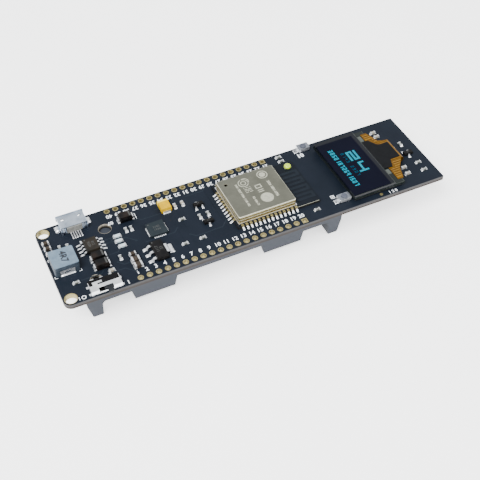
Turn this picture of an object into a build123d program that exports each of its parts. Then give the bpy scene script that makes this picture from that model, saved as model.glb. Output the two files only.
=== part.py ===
from build123d import *

import os

# Microcontroller dev board with a wireless module, a small display and an 18650 cell holder under it.
#
# Units are millimetres. +X runs from the USB end to the display end, +Y from the switch edge to the USB
# edge, +Z up. The origin is the middle of the board's outline, on the plane that the holder's feet stand on.

# ---- driving dimensions -------------------------------------------------------------------------------

BOARD_LENGTH = 114.0
BOARD_WIDTH = 29.0
BOARD_THICKNESS = 1.6
HOLDER_DEPTH = 11.1  # cell holder, from the board's underside to its feet
BOTTOM = HOLDER_DEPTH  # underside of the board
TOP = BOTTOM + BOARD_THICKNESS  # component side of the board
BOARD_CORNER_R = 2.1

HEADER_PITCH = 2.54
HEADER_COUNT = 20
HEADER_FIRST_X = -36.3
HEADER_ROW_Y = 13.335
HEADER_HOLE_R = 0.57
HEADER_PAD_R = 0.825
PLATING_WALL = 0.05
PAD_THICKNESS = 0.04

CORNER_HOLE_X = -54.9
CORNER_HOLE_Y = 12.4
CORNER_HOLE_R = 1.6
CORNER_RING_R = 1.78

# locating holes for the two pegs of the cell holder: (x, y, hole radius, peg radius)
PEG_SITES = [(-38.95, 7.3, 1.85, 1.6), (-46.9, -8.9, 1.65, 1.4)]
PEG_HEIGHT = 0.35

HOLDER_X = -12.45
HOLDER_HALF_LENGTH = 38.7
HOLDER_WIDTH = 20.9
BAY_HALF_LENGTH = 34.4
CELL_BORE_R = 9.5
CELL_AXIS_Z = 0.5

MODULE_X = 6.65
MODULE_Y = 0.365
MODULE_LENGTH = 25.5
MODULE_WIDTH = 18.0
MODULE_BOARD_THICKNESS = 0.8
MODULE_PITCH = 1.27
MODULE_FIRST_PAD_X = -4.6  # first castellation of the long sides
MODULE_FIRST_PAD_Y = -5.345  # first castellation of the short side
MODULE_SIDE_PADS = 14
CASTELLATION_DEPTH = 0.75
CASTELLATION_HALF_WIDTH = 0.35
MODULE_END_PADS = 10
SHIELD_LENGTH = 17.6
SHIELD_WIDTH = 15.7
SHIELD_X = 3.5
SHIELD_HEIGHT = 2.3
SHIELD_WALL = 0.2

USB_X = -46.5
USB_BACK_Y = 9.9
USB_MOUTH_Y = 14.9
USB_WIDTH = 7.5
USB_HEIGHT = 2.45
USB_WALL = 0.25

SWITCH_X = -45.6
SWITCH_WIDTH = 8.4
SWITCH_FRONT_Y = -14.1
SWITCH_BACK_Y = -10.0
SWITCH_HEIGHT = 1.6
SWITCH_PLATE = 0.15
SWITCH_SILL = 0.72
KNOB_X = -44.75  # the knob's place at the start of its travel, which runs towards -X
KNOB_TIP_Y = -15.5
KNOB_WIDTH = 1.5
KNOB_TRAVEL = 2.0
CARRIAGE_LENGTH = 2.6
CARRIAGE_MARGIN = 0.25  # free length at each end of the carriage's channel
SWITCH_SLOT = (KNOB_X - KNOB_WIDTH / 2 - KNOB_TRAVEL - 0.15, KNOB_X + KNOB_WIDTH / 2 + 0.25)

RESET_BUTTON = (25.4, 13.2)
BOOT_BUTTON = (25.9, -10.6)
BUTTON_SIZE = (3.7, 2.3)
BUTTON_COVER_TOP = 1.35
PLUNGER_R = 0.9
PLUNGER_TRAVEL = 0.25
PLUNGER_TOP = BUTTON_COVER_TOP + PLUNGER_TRAVEL + 0.05

DISPLAY_X0 = 28.0
DISPLAY_X1 = 41.3  # end of the front glass
LEDGE_X1 = 44.5  # end of the rear glass
DISPLAY_Y0 = -12.95
DISPLAY_Y1 = 11.4
FOAM_THICKNESS = 0.9
GLASS_THICKNESS = 0.7
POLARISER_THICKNESS = 0.2
POLARISER_X = (28.05, 39.9)
POLARISER_Y = (-12.75, 9.95)

FLEX_THICKNESS = 0.15
FLEX_FOLD_X = 49.0
FLEX_FOLD_Y = 0.4
FLEX_FOLD_WIDTH = 8.6

os.makedirs("parts", exist_ok=True)


# ---- helpers ------------------------------------------------------------------------------------------


def block(x0, x1, y0, y1, z0, z1):
    """Box between two corners."""
    size = (x1 - x0, y1 - y0, z1 - z0)
    return Pos((x0 + x1) / 2, (y0 + y1) / 2, (z0 + z1) / 2) * Box(*size)


def block_at(x, y, length, width, z0, z1):
    """Box centred on x, y."""
    return block(x - length / 2, x + length / 2, y - width / 2, y + width / 2, z0, z1)


def rod(x, y, radius, z0, z1):
    """Upright cylinder."""
    return Pos(x, y, (z0 + z1) / 2) * Cylinder(radius, z1 - z0)


def drafted_block(x, y, length, width, z0, z1, inset):
    """Moulded package body: the top and bottom faces are smaller than the parting line by the inset."""
    middle = (z0 + z1) / 2
    belt = Plane.XY.offset(middle) * Pos(x, y) * Rectangle(length, width)
    lid = Plane.XY.offset(z1) * Pos(x, y) * Rectangle(length - 2 * inset, width - 2 * inset)
    base = Plane.XY.offset(z0) * Pos(x, y) * Rectangle(length - 2 * inset, width - 2 * inset)
    return loft([base, belt]) + loft([belt, lid])


def strip(points, thickness, width):
    """Bent sheet metal: a polyline in XZ given its thickness, and its width along Y, centred on Y = 0."""
    left = []
    right = []
    for index, point in enumerate(points):
        before = points[max(index - 1, 0)]
        after = points[min(index + 1, len(points) - 1)]
        direction_in = Vector(point[0] - before[0], 0, point[1] - before[1])
        direction_out = Vector(after[0] - point[0], 0, after[1] - point[1])
        if direction_in.length == 0:
            direction_in = direction_out
        if direction_out.length == 0:
            direction_out = direction_in
        normal_in = Vector(-direction_in.Z, 0, direction_in.X).normalized()
        normal_out = Vector(-direction_out.Z, 0, direction_out.X).normalized()
        bisector = (normal_in + normal_out).normalized()
        reach = thickness / 2 / bisector.dot(normal_in)
        left.append((point[0] + bisector.X * reach, point[1] + bisector.Z * reach))
        right.append((point[0] - bisector.X * reach, point[1] - bisector.Z * reach))
    outline = Plane.XZ * Polygon(*left, *reversed(right), align=None)
    return extrude(outline, amount=width / 2, both=True)


def turned(shape, angle, x, y):
    """Turn a shape that was drawn about the Z axis, then carry it to x, y."""
    return Pos(x, y, 0) * Rot(0, 0, angle) * shape


def solids_of(shapes):
    """Every solid in a list of shapes."""
    return [solid for shape in shapes for solid in shape.solids()]


def save(name, *shapes):
    """Write one node."""
    solids = solids_of(shapes)
    if len(solids) == 1:
        export_step(solids[0], f"parts/{name}.step")
    else:
        export_step(Compound(children=solids), f"parts/{name}.step")


# ---- bare board and its plated holes ------------------------------------------------------------------


def header_sites(row):
    """Hole centres of one header row, row being -1 at the front edge and +1 at the back edge."""
    return [(HEADER_FIRST_X + HEADER_PITCH * index, row * HEADER_ROW_Y) for index in range(HEADER_COUNT)]


def circuit_board():
    outline = Rectangle(BOARD_LENGTH, BOARD_WIDTH)
    usb_end = outline.vertices().sort_by(Axis.X)[:2]
    outline = fillet(usb_end, BOARD_CORNER_R)
    cuts = []
    for x, y in header_sites(-1) + header_sites(1):
        cuts.append(Pos(x, y) * Circle(HEADER_HOLE_R + PLATING_WALL))
    for side in (-1, 1):
        cuts.append(Pos(CORNER_HOLE_X, side * CORNER_HOLE_Y) * Circle(CORNER_HOLE_R + PLATING_WALL))
    for x, y, hole_r, _ in PEG_SITES:
        cuts.append(Pos(x, y) * Circle(hole_r))
    return Pos(0, 0, BOTTOM) * extrude(outline - cuts, amount=BOARD_THICKNESS)


def plated_hole(x, y, hole_r, pad):
    """Copper barrel with a pad on each side of the board, in one piece."""
    lower = Pos(x, y, BOTTOM - PAD_THICKNESS) * extrude(pad, amount=PAD_THICKNESS)
    upper = Pos(x, y, TOP) * extrude(pad, amount=PAD_THICKNESS)
    barrel = rod(x, y, hole_r + PLATING_WALL, BOTTOM, TOP)
    bore = rod(x, y, hole_r, BOTTOM - 1, TOP + 1)
    return lower + upper + barrel - bore


def header_plating(row):
    """Round pads along the row, and a square one at its last hole."""
    sites = header_sites(row)
    round_pads = [plated_hole(x, y, HEADER_HOLE_R, Circle(HEADER_PAD_R)) for x, y in sites[:-1]]
    square = Rectangle(2 * HEADER_PAD_R, 2 * HEADER_PAD_R)
    return round_pads + [plated_hole(*sites[-1], HEADER_HOLE_R, square)]


def corner_plating():
    ring = Circle(CORNER_RING_R)
    return [plated_hole(CORNER_HOLE_X, side * CORNER_HOLE_Y, CORNER_HOLE_R, ring) for side in (-1, 1)]


# ---- cell holder --------------------------------------------------------------------------------------


LIP_Z = 5.0  # lower edge of the side walls between the lugs and the feet
LUG_Z = 1.6  # lower edge of the lugs
LEG_INNER_X = 34.2
LEG_CORNER_R = 1.3
TOE_X = 37.3
TOE_R = 0.5


def corners_at(face, x, height):
    """The pair of mirrored corners of a side face at this offset and height."""
    return [v for v in face.vertices() if abs(abs(v.X) - x) < 0.01 and abs(v.Y - height) < 0.01]


def holder_side_face():
    """The holder seen from the side: a straight lip, two lugs below it, and a foot at each end."""
    half = [
        (12.8, LIP_Z),
        (13.6, LUG_Z),
        (25.2, LUG_Z),
        (26.0, LIP_Z),
        (LEG_INNER_X, LIP_Z),
        (LEG_INNER_X + 0.2, 0.0),
        (TOE_X, 0.0),
        (38.4, 4.5),
        (HOLDER_HALF_LENGTH, BOTTOM),
    ]
    mirrored = [(-x, z) for x, z in reversed(half)]
    face = Polygon(*half, *mirrored, align=None)
    face = fillet(corners_at(face, LEG_INNER_X, LIP_Z), LEG_CORNER_R)
    return fillet(corners_at(face, TOE_X, 0.0), TOE_R)


CONTACT_THICKNESS = 0.3
CONTACT_WIDTH = 6.4
CONTACT_TAIL = 42.0  # tip of the solder tail, from the holder's middle


def battery_holder():
    """Tray open downward: cradle roof, two side walls with lugs, and an end block with two feet each."""
    body = extrude(Plane.XZ * holder_side_face(), amount=HOLDER_WIDTH / 2, both=True)
    bay = Pos(0, 0, CELL_AXIS_Z) * Rot(0, 90, 0) * Cylinder(CELL_BORE_R, 2 * BAY_HALF_LENGTH)
    below = block(-BAY_HALF_LENGTH, BAY_HALF_LENGTH, -CELL_BORE_R, CELL_BORE_R, -1, CELL_AXIS_Z)
    foot_arch = Pos(0, 0, -3.6) * Rot(0, 90, 0) * Cylinder(7.6, 4 * BAY_HALF_LENGTH)
    slot_z = BOTTOM - 0.4
    tail_slot = block(-HOLDER_HALF_LENGTH - 1, HOLDER_HALF_LENGTH + 1, -3.4, 3.4, slot_z, BOTTOM + 1)
    roof_keep = block(-BAY_HALF_LENGTH + 1.2, BAY_HALF_LENGTH - 1.2, -3.4, 3.4, slot_z, BOTTOM)
    body = body - bay - below - foot_arch - (tail_slot - roof_keep)
    for side in (-1, 1):
        body -= block_at(side * (BAY_HALF_LENGTH - 0.6), 0, 1.2, 6.8, CELL_AXIS_Z, BOTTOM + 1)
    body = Pos(HOLDER_X, 0, 0) * body
    for x, y, _, peg_r in PEG_SITES:
        body += rod(x, y, peg_r, BOTTOM, BOTTOM + PEG_HEIGHT)
    return body


def battery_contact(side):
    """Nickelled strip: solder tail under the board, back leaf down the end block, bowed spring leaf."""
    tail_z = BOTTOM - CONTACT_THICKNESS / 2
    leaf = [
        (CONTACT_TAIL, tail_z),
        (34.1, tail_z),
        (34.1, 2.6),
        (33.85, 1.95),
        (33.35, 1.95),
        (33.1, 2.6),
        (32.6, 5.2),
        (33.2, 7.8),
    ]
    shape = strip(leaf, CONTACT_THICKNESS, CONTACT_WIDTH)
    return turned(shape, 0 if side > 0 else 180, HOLDER_X, 0)


# ---- USB port -----------------------------------------------------------------------------------------


def usb_outline(width, height, corner):
    """Mouth of the port seen along Y: flat top, chamfered lower corners, its foot at z = 0."""
    half = width / 2
    points = [
        (-half + corner, 0),
        (half - corner, 0),
        (half, corner * 0.85),
        (half, height),
        (-half, height),
        (-half, corner * 0.85),
    ]
    face = Polygon(*points, align=None)
    return fillet(face.vertices(), 0.22)


def usb_shell():
    length = USB_MOUTH_Y - USB_BACK_Y
    outer_face = usb_outline(USB_WIDTH, USB_HEIGHT, 1.1)
    inner_face = Pos(0, USB_WALL) * usb_outline(USB_WIDTH - 2 * USB_WALL, USB_HEIGHT - 2 * USB_WALL, 1.0)
    section = Plane.XZ.offset(-USB_MOUTH_Y) * Pos(USB_X, TOP) * (outer_face - inner_face)
    shell = extrude(section, amount=length)
    lip_face = Pos(0, -0.04) * usb_outline(USB_WIDTH + 0.3, USB_HEIGHT + 0.16, 1.1)
    lip = Plane.XZ.offset(-USB_MOUTH_Y) * Pos(USB_X, TOP) * (lip_face - inner_face)
    shell += extrude(lip, amount=0.3) - block_at(USB_X, 15, 20, 20, TOP - 1, TOP)
    for side in (-1, 1):
        wall_x = USB_X + side * (USB_WIDTH / 2 - 0.1)
        shell += block_at(wall_x, 12.4, 0.2, 1.7, TOP, TOP + 1.4)
        foot_x = USB_X + side * 4.15
        shell += block_at(foot_x, 12.4, 1.0, 1.7, TOP, TOP + 0.25)
        heel_x = USB_X + side * 3.5
        shell += block_at(heel_x, USB_BACK_Y + 0.1, 0.5, 0.9, TOP, TOP + 1.4)
        shell -= rod(USB_X + side * 2.4, 12.9, 0.5, TOP + USB_HEIGHT - 1, TOP + USB_HEIGHT + 1)
    return shell


def usb_tongue():
    """Insulator: rear block behind the shell's throat and the tongue that carries the contacts."""
    rear = block_at(USB_X, USB_BACK_Y + 0.35, 4.3, 1.3, TOP + 0.3, TOP + 2.15)
    tongue = block_at(USB_X, 12.7, 3.9, 3.6, TOP + 1.35, TOP + 1.95)
    return rear + tongue - solids_of(usb_contacts())


def usb_contacts():
    """Five pins: under the tongue, down through the insulator and out to their solder feet."""
    path = [(-5.6, 0.09), (-3.6, 0.09), (-3.1, 0.4), (-2.6, 1.27), (0.2, 1.27)]
    pin = strip(path, 0.16, 0.3)
    pin = Rot(0, 0, 90) * pin
    pins = []
    for index in range(5):
        x = USB_X + 0.65 * (index - 2)
        pins.append(Pos(x, 13.2, TOP) * pin)
    return pins


# ---- chip parts and packages --------------------------------------------------------------------------

# two-terminal chips: (x, y, turn about Z in degrees)
MLCC_SIZE = (1.8, 1.0, 0.85)
MLCC_SITES = [(-55.3, 8.45, 0), (-55.3, 6.45, 0), (-55.3, 4.45, 0), (-35.4, -4.95, 0)]
BULK_MLCC_SIZE = (2.3, 1.6, 1.2)
BULK_MLCC_SITES = [(-35.4, -7.35, 0), (-35.4, -9.4, 0)]
SMALL_SIZE = (1.6, 0.8, 0.75)
SMALL_CAPACITOR_SITES = [
    (-42.3, -8.0, 0),
    (-18.4, 6.97, 90),
    (-16.1, 7.07, 90),
    (48.0, 10.3, 0),
    (48.1, 8.35, 0),
    (48.2, -6.85, 0),
    (47.9, -9.45, 0),
]
RESISTOR_SIZE = (1.6, 0.8, 0.5)
RESISTOR_SITES = [
    (-52.3, 5.5, 90),
    (-50.2, 5.2, 90),
    (-52.0, -8.0, 0),
    (-33.9, 4.27, 90),
    (-32.4, 4.27, 90),
    (-38.7, -4.6, 90),
    (-18.5, 1.47, 0),
    (-21.2, -7.33, 0),
    (-16.0, -7.33, 0),
    (-13.6, 0.35, 90),
    (-11.1, 0.45, 90),
    (17.1, 12.87, 0),
    (17.1, 10.97, 0),
    (17.1, -11.13, 0),
    (52.9, 2.55, 90),
    (53.4, -6.5, 0),
    (53.3, -9.85, 0),
]
INDICATOR_SIZE = (2.1, 1.0, 0.55)
INDICATOR_SITES = [(-36.9, 3.05, 0), (-37.05, 1.15, 0), (-36.8, -0.9, 0)]
STATUS_LED = (17.2, 7.3)
DIODE_SIZE = (3.8, 2.6, 2.1)
DIODE_SITES = [(-44.05, -2.43, 0), (-44.05, -5.43, 0), (-32.6, 8.27, 0)]
TANTALUM_SITE = (-21.2, 7.67, 90)
TRANSISTOR_SITES = [(-12.3, 4.6, 0), (-12.3, -2.6, 180), (52.6, -2.0, 180)]
CHARGER_SITE = (-44.4, 2.27, 0)
REGULATOR_SITE = (-28.6, -7.13, 0)
QFN_SITE = (-26.2, 0.87, 0)
INDUCTOR_SITE = (-52.9, -0.9)
INDUCTOR_SIZE = (6.8, 6.6, 3.45)


def chip_body(size, site, end):
    """Ceramic between the end caps of a two-terminal chip."""
    length, width, height = size
    core = block_at(0, 0, length - 2 * end, width - 0.06, TOP + 0.03, TOP + height - 0.03)
    x, y, angle = site
    return turned(core, angle, x, y)


def chip_ends(size, site, end):
    """The two metal end caps of a two-terminal chip, with rounded edges."""
    length, width, height = size
    x, y, angle = site
    caps = []
    for side in (-1, 1):
        cap = block_at(side * (length - end) / 2, 0, end, width, TOP, TOP + height)
        outer = cap.faces().sort_by(Axis.X)[-1 if side > 0 else 0]
        cap = fillet(outer.edges(), min(end, height) * 0.3)
        caps.append(turned(cap, angle, x, y))
    return caps


def chips(size, sites, end):
    """Bodies and end caps of a group of equal chips."""
    bodies = [chip_body(size, site, end) for site in sites]
    caps = [cap for site in sites for cap in chip_ends(size, site, end)]
    return bodies, caps


def diode_body(site):
    x, y, angle = site
    length, width, height = DIODE_SIZE
    return turned(drafted_block(0, 0, length, width, TOP + 0.12, TOP + height, 0.22), angle, x, y)


def diode_leads(site):
    """Flat leads that leave the body at mid height and fold down and under its ends."""
    x, y, angle = site
    half = DIODE_SIZE[0] / 2
    path = [(half, 1.1), (half + 0.25, 1.1), (half + 0.25, 0.06), (half - 0.5, 0.06)]
    lead = Pos(0, 0, TOP) * strip(path, 0.12, 1.5)
    return [turned(lead, angle + flip, x, y) for flip in (0, 180)]


def gull_lead(start, reach, height, thickness, width):
    """Lead from a package's side down to a flat foot, start and reach being counted from its middle."""
    foot = min(0.6, (reach - start) * 0.5)
    drop = reach - foot
    shoulder = start + (drop - start) * 0.45
    path = [(start, height), (shoulder, height), (drop, thickness / 2), (reach, thickness / 2)]
    return Pos(0, 0, TOP) * strip(path, thickness, width)


def lead_row(start, reach, height, thickness, width, offsets, angle):
    """Several equal leads side by side on the +X side, then turned about the package's middle."""
    lead = gull_lead(start, reach, height, thickness, width)
    return [Rot(0, 0, angle) * Pos(0, offset, 0) * lead for offset in offsets]


def place(shapes, site):
    x, y, angle = site
    return [turned(shape, angle, x, y) for shape in shapes]


def charger_chip():
    body = drafted_block(0, 0, 3.9, 4.9, TOP + 0.12, TOP + 1.5, 0.18)
    offsets = [1.27 * (index - 1.5) for index in range(4)]
    leads = []
    for angle in (0, 180):
        leads += lead_row(1.95, 3.3, 0.8, 0.2, 0.5, offsets, angle)
    return place([body], CHARGER_SITE), place(leads, CHARGER_SITE)


def regulator():
    body = drafted_block(0, 0, 3.5, 6.5, TOP + 0.08, TOP + 1.6, 0.16)
    leads = lead_row(1.75, 3.5, 0.9, 0.26, 0.72, [-2.3, 0, 2.3], 180)
    tab = lead_row(1.75, 3.5, 0.9, 0.26, 3.0, [0], 0)
    return place([body], REGULATOR_SITE), place(leads + tab, REGULATOR_SITE)


def usb_bridge_chip():
    """Flat leadless package with pads along its four sides."""
    body = block_at(0, 0, 5.0, 5.0, TOP + 0.05, TOP + 0.8)
    pads = []
    for angle in (0, 90, 180, 270):
        for index in range(7):
            middle = 0.5 * (index - 3)
            pad = block(2.5, 2.68, middle - 0.14, middle + 0.14, TOP, TOP + 0.22)
            pads.append(Rot(0, 0, angle) * pad)
    return place([body], QFN_SITE), place(pads, QFN_SITE)


def transistor(site):
    """Three-legged package: body along X, one lead on its +Y side and two on its -Y side."""
    body = drafted_block(0, 0, 2.9, 1.3, TOP + 0.08, TOP + 1.05, 0.1)
    leads = lead_row(0.65, 1.3, 0.55, 0.14, 0.4, [0], 90)
    leads += lead_row(0.65, 1.3, 0.55, 0.14, 0.4, [-0.95, 0.95], 270)
    return place([body], site), place(leads, site)


def tantalum():
    x, y, angle = TANTALUM_SITE
    body = drafted_block(0, 0, 3.7, 3.1, TOP + 0.1, TOP + 1.7, 0.08)
    path = [(1.85, 0.7), (1.97, 0.7), (1.97, 0.06), (1.2, 0.06)]
    lead = Pos(0, 0, TOP) * strip(path, 0.12, 2.2)
    leads = [turned(lead, angle + flip, x, y) for flip in (0, 180)]
    return turned(body, angle, x, y) - leads, leads


def inductor():
    """Shielded power inductor: rounded ferrite case, and a clip in a notch of its front and back."""
    x, y = INDUCTOR_SITE
    length, width, height = INDUCTOR_SIZE
    case = block_at(0, 0, length, width, TOP + 0.05, TOP + height)
    case = fillet(case.edges().filter_by(Axis.Z), 0.55)
    case = chamfer(case.faces().sort_by(Axis.Z)[-1].edges(), 0.12)
    clips = []
    for side in (-1, 1):
        face_y = side * width / 2
        inner_y = face_y - side * 0.45
        low, high = sorted((face_y + side, inner_y))
        case -= block(-2.1, 2.1, low, high, TOP - 1, TOP + 1.95)
        low, high = sorted((face_y - side * 0.05, inner_y))
        clip = block(-2.0, 2.0, low, high, TOP, TOP + 1.85)
        window = block(-0.9, 0.9, face_y - 1, face_y + 1, TOP + 0.45, TOP + 1.25)
        clips.append(Pos(x, y, 0) * (clip - window))
    return Pos(x, y, 0) * case, clips


def status_led():
    """Lamp on the free corner of the module: a round clear dome on a small base with two terminals."""
    x, y = STATUS_LED
    foot = TOP + MODULE_BOARD_THICKNESS
    lens = rod(x, y, 1.0, foot + 0.25, foot + 0.95)
    lens = fillet(lens.faces().sort_by(Axis.Z)[-1].edges(), 0.45)
    base = block_at(x, y, 1.3, 1.3, foot, foot + 0.25)
    ends = [block_at(x + side * 0.85, y, 0.4, 1.1, foot, foot + 0.25) for side in (-1, 1)]
    return lens, [base], ends


# ---- wireless module ----------------------------------------------------------------------------------


def module_pad_sites():
    """Castellations: x, y and the direction that each faces."""
    half = MODULE_WIDTH / 2
    sites = []
    for index in range(MODULE_SIDE_PADS):
        x = MODULE_FIRST_PAD_X + MODULE_PITCH * index
        sites.append((x, MODULE_Y - half, 270))
        sites.append((x, MODULE_Y + half, 90))
    for index in range(MODULE_END_PADS):
        y = MODULE_FIRST_PAD_Y + MODULE_PITCH * index
        sites.append((MODULE_X - MODULE_LENGTH / 2, y, 180))
    return sites


def module_pads():
    """One gold castellation per site: a sleeve over the module's edge, hollowed by a half-round."""
    pads = []
    for x, y, angle in module_pad_sites():
        pad_top = TOP + MODULE_BOARD_THICKNESS + PAD_THICKNESS
        half = CASTELLATION_HALF_WIDTH
        sleeve = block(-CASTELLATION_DEPTH, 0.0, -half, half, TOP, pad_top)
        sleeve -= rod(0.0, 0.0, 0.22, TOP - 1, TOP + 2)
        pads.append(turned(sleeve, angle, x, y))
    return pads


def module_board():
    x0 = MODULE_X - MODULE_LENGTH / 2
    x1 = MODULE_X + MODULE_LENGTH / 2
    y0 = MODULE_Y - MODULE_WIDTH / 2
    y1 = MODULE_Y + MODULE_WIDTH / 2
    slab = block(x0, x1, y0, y1, TOP, TOP + MODULE_BOARD_THICKNESS)
    half = CASTELLATION_HALF_WIDTH
    notch = block(-CASTELLATION_DEPTH, 1.0, -half, half, TOP - 1, TOP + 2)
    return slab - [turned(notch, angle, x, y) for x, y, angle in module_pad_sites()]


SHIELD_BASE = TOP + MODULE_BOARD_THICKNESS
SHIELD_TOP = SHIELD_BASE + SHIELD_HEIGHT


def module_shield():
    """Drawn can with rounded corners, open towards the module, with one small vent hole."""
    can = block_at(SHIELD_X, MODULE_Y, SHIELD_LENGTH, SHIELD_WIDTH, SHIELD_BASE, SHIELD_TOP)
    can = fillet(can.edges().filter_by(Axis.Z), 0.5)
    can = fillet(can.faces().sort_by(Axis.Z)[-1].edges(), 0.25)
    inner_length = SHIELD_LENGTH - 2 * SHIELD_WALL
    inner_width = SHIELD_WIDTH - 2 * SHIELD_WALL
    ceiling = SHIELD_TOP - SHIELD_WALL
    inside = block_at(SHIELD_X, MODULE_Y, inner_length, inner_width, SHIELD_BASE - 1, ceiling)
    inside = fillet(inside.edges().filter_by(Axis.Z), 0.3)
    vent_x = SHIELD_X - SHIELD_LENGTH / 2 + 2.1
    vent_y = MODULE_Y + SHIELD_WIDTH / 2 - 2.4
    vent = rod(vent_x, vent_y, 0.5, SHIELD_BASE, SHIELD_TOP + 1)
    return can - inside - vent


def module_chip(x, y, length, width, height):
    return block_at(x, y, length, width, SHIELD_BASE, SHIELD_BASE + height)


# ---- slide switch -------------------------------------------------------------------------------------

SWITCH_LEFT = SWITCH_X - SWITCH_WIDTH / 2
SWITCH_RIGHT = SWITCH_X + SWITCH_WIDTH / 2
SWITCH_TOP = TOP + SWITCH_HEIGHT
CHANNEL_FLOOR = TOP + 0.3
CHANNEL_BACK_Y = -12.05
SWITCH_PIN_PITCH = 2.5


def slide_switch_shell():
    """Folded cover: front, top and sides, a window for the knob, a spring tongue behind, and four feet."""
    front_y = SWITCH_FRONT_Y
    plate = SWITCH_PLATE
    roof = block(SWITCH_LEFT, SWITCH_RIGHT, front_y, -12.1, SWITCH_TOP - plate, SWITCH_TOP)
    tongue = block(-48.75, -46.1, -12.2, -10.95, SWITCH_TOP - plate, SWITCH_TOP)
    slit = block(-47.45, -46.0, -12.1, -11.6, SWITCH_TOP - 1, SWITCH_TOP + 1)
    front = block(SWITCH_LEFT, SWITCH_RIGHT, front_y, front_y + plate, TOP + 0.05, SWITCH_TOP)
    shell = roof + (tongue - slit) + front
    for side in (-1, 1):
        wall_x = SWITCH_X + side * (SWITCH_WIDTH / 2 - plate / 2)
        shell += block_at(wall_x, -12.35, plate, 3.5, TOP + 0.05, SWITCH_TOP)
        for foot_y in (-13.5, -11.0):
            foot_x = SWITCH_X + side * (SWITCH_WIDTH / 2 + 0.2)
            shell += block_at(foot_x, foot_y, 0.7, 0.7, TOP + 0.05, TOP + 0.25)
    window = block(*SWITCH_SLOT, front_y - 1, -13.2, TOP + SWITCH_SILL, SWITCH_TOP + 1)
    return shell - window


def slide_switch_base():
    """Moulded base with the channel that guides the carriage."""
    plate = SWITCH_PLATE
    x0 = SWITCH_LEFT + plate
    x1 = SWITCH_RIGHT - plate
    body = block(x0, x1, SWITCH_FRONT_Y + plate, SWITCH_BACK_Y, TOP, SWITCH_TOP - plate)
    channel_x0 = KNOB_X - CARRIAGE_LENGTH / 2 - KNOB_TRAVEL - CARRIAGE_MARGIN
    channel_x1 = KNOB_X + CARRIAGE_LENGTH / 2 + CARRIAGE_MARGIN
    channel = block(channel_x0, channel_x1, SWITCH_FRONT_Y - 1, CHANNEL_BACK_Y, CHANNEL_FLOOR, SWITCH_TOP)
    return body - channel - slide_switch_pins()


def slide_switch_knob():
    """Carriage inside the channel, and the lever that stands out over the board's edge."""
    ceiling = SWITCH_TOP - SWITCH_PLATE - 0.05
    sill = TOP + SWITCH_SILL + 0.05
    carriage = block_at(KNOB_X, -13.0, CARRIAGE_LENGTH, 1.6, CHANNEL_FLOOR + 0.05, ceiling)
    lever = block(KNOB_X - KNOB_WIDTH / 2, KNOB_X + KNOB_WIDTH / 2, KNOB_TIP_Y, -13.5, sill, ceiling)
    tip_edges = lever.faces().sort_by(Axis.Y)[0].edges().filter_by(Axis.Z)
    return carriage + fillet(tip_edges, 0.25)


def slide_switch_wiper():
    """Bridging contact on the back of the carriage."""
    return block_at(KNOB_X, -12.15, 2.2, 0.1, CHANNEL_FLOOR + 0.2, CHANNEL_FLOOR + 0.7)


def slide_switch_pins():
    pins = []
    for index in range(3):
        x = SWITCH_X + SWITCH_PIN_PITCH * (index - 1)
        pins.append(block(x - 0.22, x + 0.22, -11.6, -8.75, TOP + 0.02, TOP + 0.2))
    return pins


# ---- push buttons -------------------------------------------------------------------------------------

BUTTON_BASE = 0.2
BUTTON_HOLE_R = PLUNGER_R + 0.05
FLANGE_R = 1.0
FLANGE_Z = (0.6, 0.95)
CAVITY_R = 1.05


def button_cover(site):
    """Metal cover: a drawn box with a round hole for the plunger, hollow underneath."""
    x, y = site
    length, width = BUTTON_SIZE
    cover = block_at(x, y, length, width, TOP + BUTTON_BASE, TOP + BUTTON_COVER_TOP)
    cover = fillet(cover.edges().filter_by(Axis.Z), 0.2)
    cover -= rod(x, y, CAVITY_R, TOP, TOP + FLANGE_Z[1] + 0.05)
    return cover - rod(x, y, BUTTON_HOLE_R, TOP, TOP + 3)


def button_base(site):
    x, y = site
    length, width = BUTTON_SIZE
    return block_at(x, y, length, width, TOP, TOP + BUTTON_BASE)


def button_plunger(site):
    x, y = site
    stem = rod(x, y, PLUNGER_R, TOP + FLANGE_Z[0], TOP + PLUNGER_TOP)
    stem = fillet(stem.faces().sort_by(Axis.Z)[-1].edges(), 0.15)
    flange = rod(x, y, FLANGE_R, TOP + FLANGE_Z[0], TOP + FLANGE_Z[1])
    return stem + flange


def button_dome(site):
    """Snap dome: a thin cap of a sphere between the base and the plunger."""
    x, y = site
    rise = FLANGE_Z[0] - BUTTON_BASE - 0.02
    rim = 0.98
    thickness = 0.07
    sphere_r = (rim**2 + rise**2) / (2 * rise)
    centre_z = TOP + BUTTON_BASE + rise - sphere_r
    outer = Pos(x, y, centre_z) * Sphere(sphere_r)
    inner = Pos(x, y, centre_z) * Sphere(sphere_r - thickness)
    keep = rod(x, y, rim, TOP + BUTTON_BASE, TOP + BUTTON_COVER_TOP)
    return (outer - inner) & keep


def button_terminals(site):
    """Flat solder tabs at the two ends of a button."""
    x, y = site
    half = BUTTON_SIZE[0] / 2
    right = block_at(x + half + 0.1, y, 0.2, 0.8, TOP, TOP + 0.15)
    left = block_at(x - half - 0.55, y, 1.1, 1.3, TOP, TOP + 0.15)
    return [left, right]


# ---- display ------------------------------------------------------------------------------------------

REAR_GLASS_Z = TOP + FOAM_THICKNESS
FRONT_GLASS_Z = REAR_GLASS_Z + GLASS_THICKNESS
DISPLAY_TOP = FRONT_GLASS_Z + GLASS_THICKNESS


def display_foam():
    return block(DISPLAY_X0 + 0.5, LEDGE_X1 - 0.4, DISPLAY_Y0 + 0.5, DISPLAY_Y1 - 0.5, TOP, REAR_GLASS_Z)


def display_rear_glass():
    return block(DISPLAY_X0, LEDGE_X1, DISPLAY_Y0, DISPLAY_Y1, REAR_GLASS_Z, FRONT_GLASS_Z)


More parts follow.
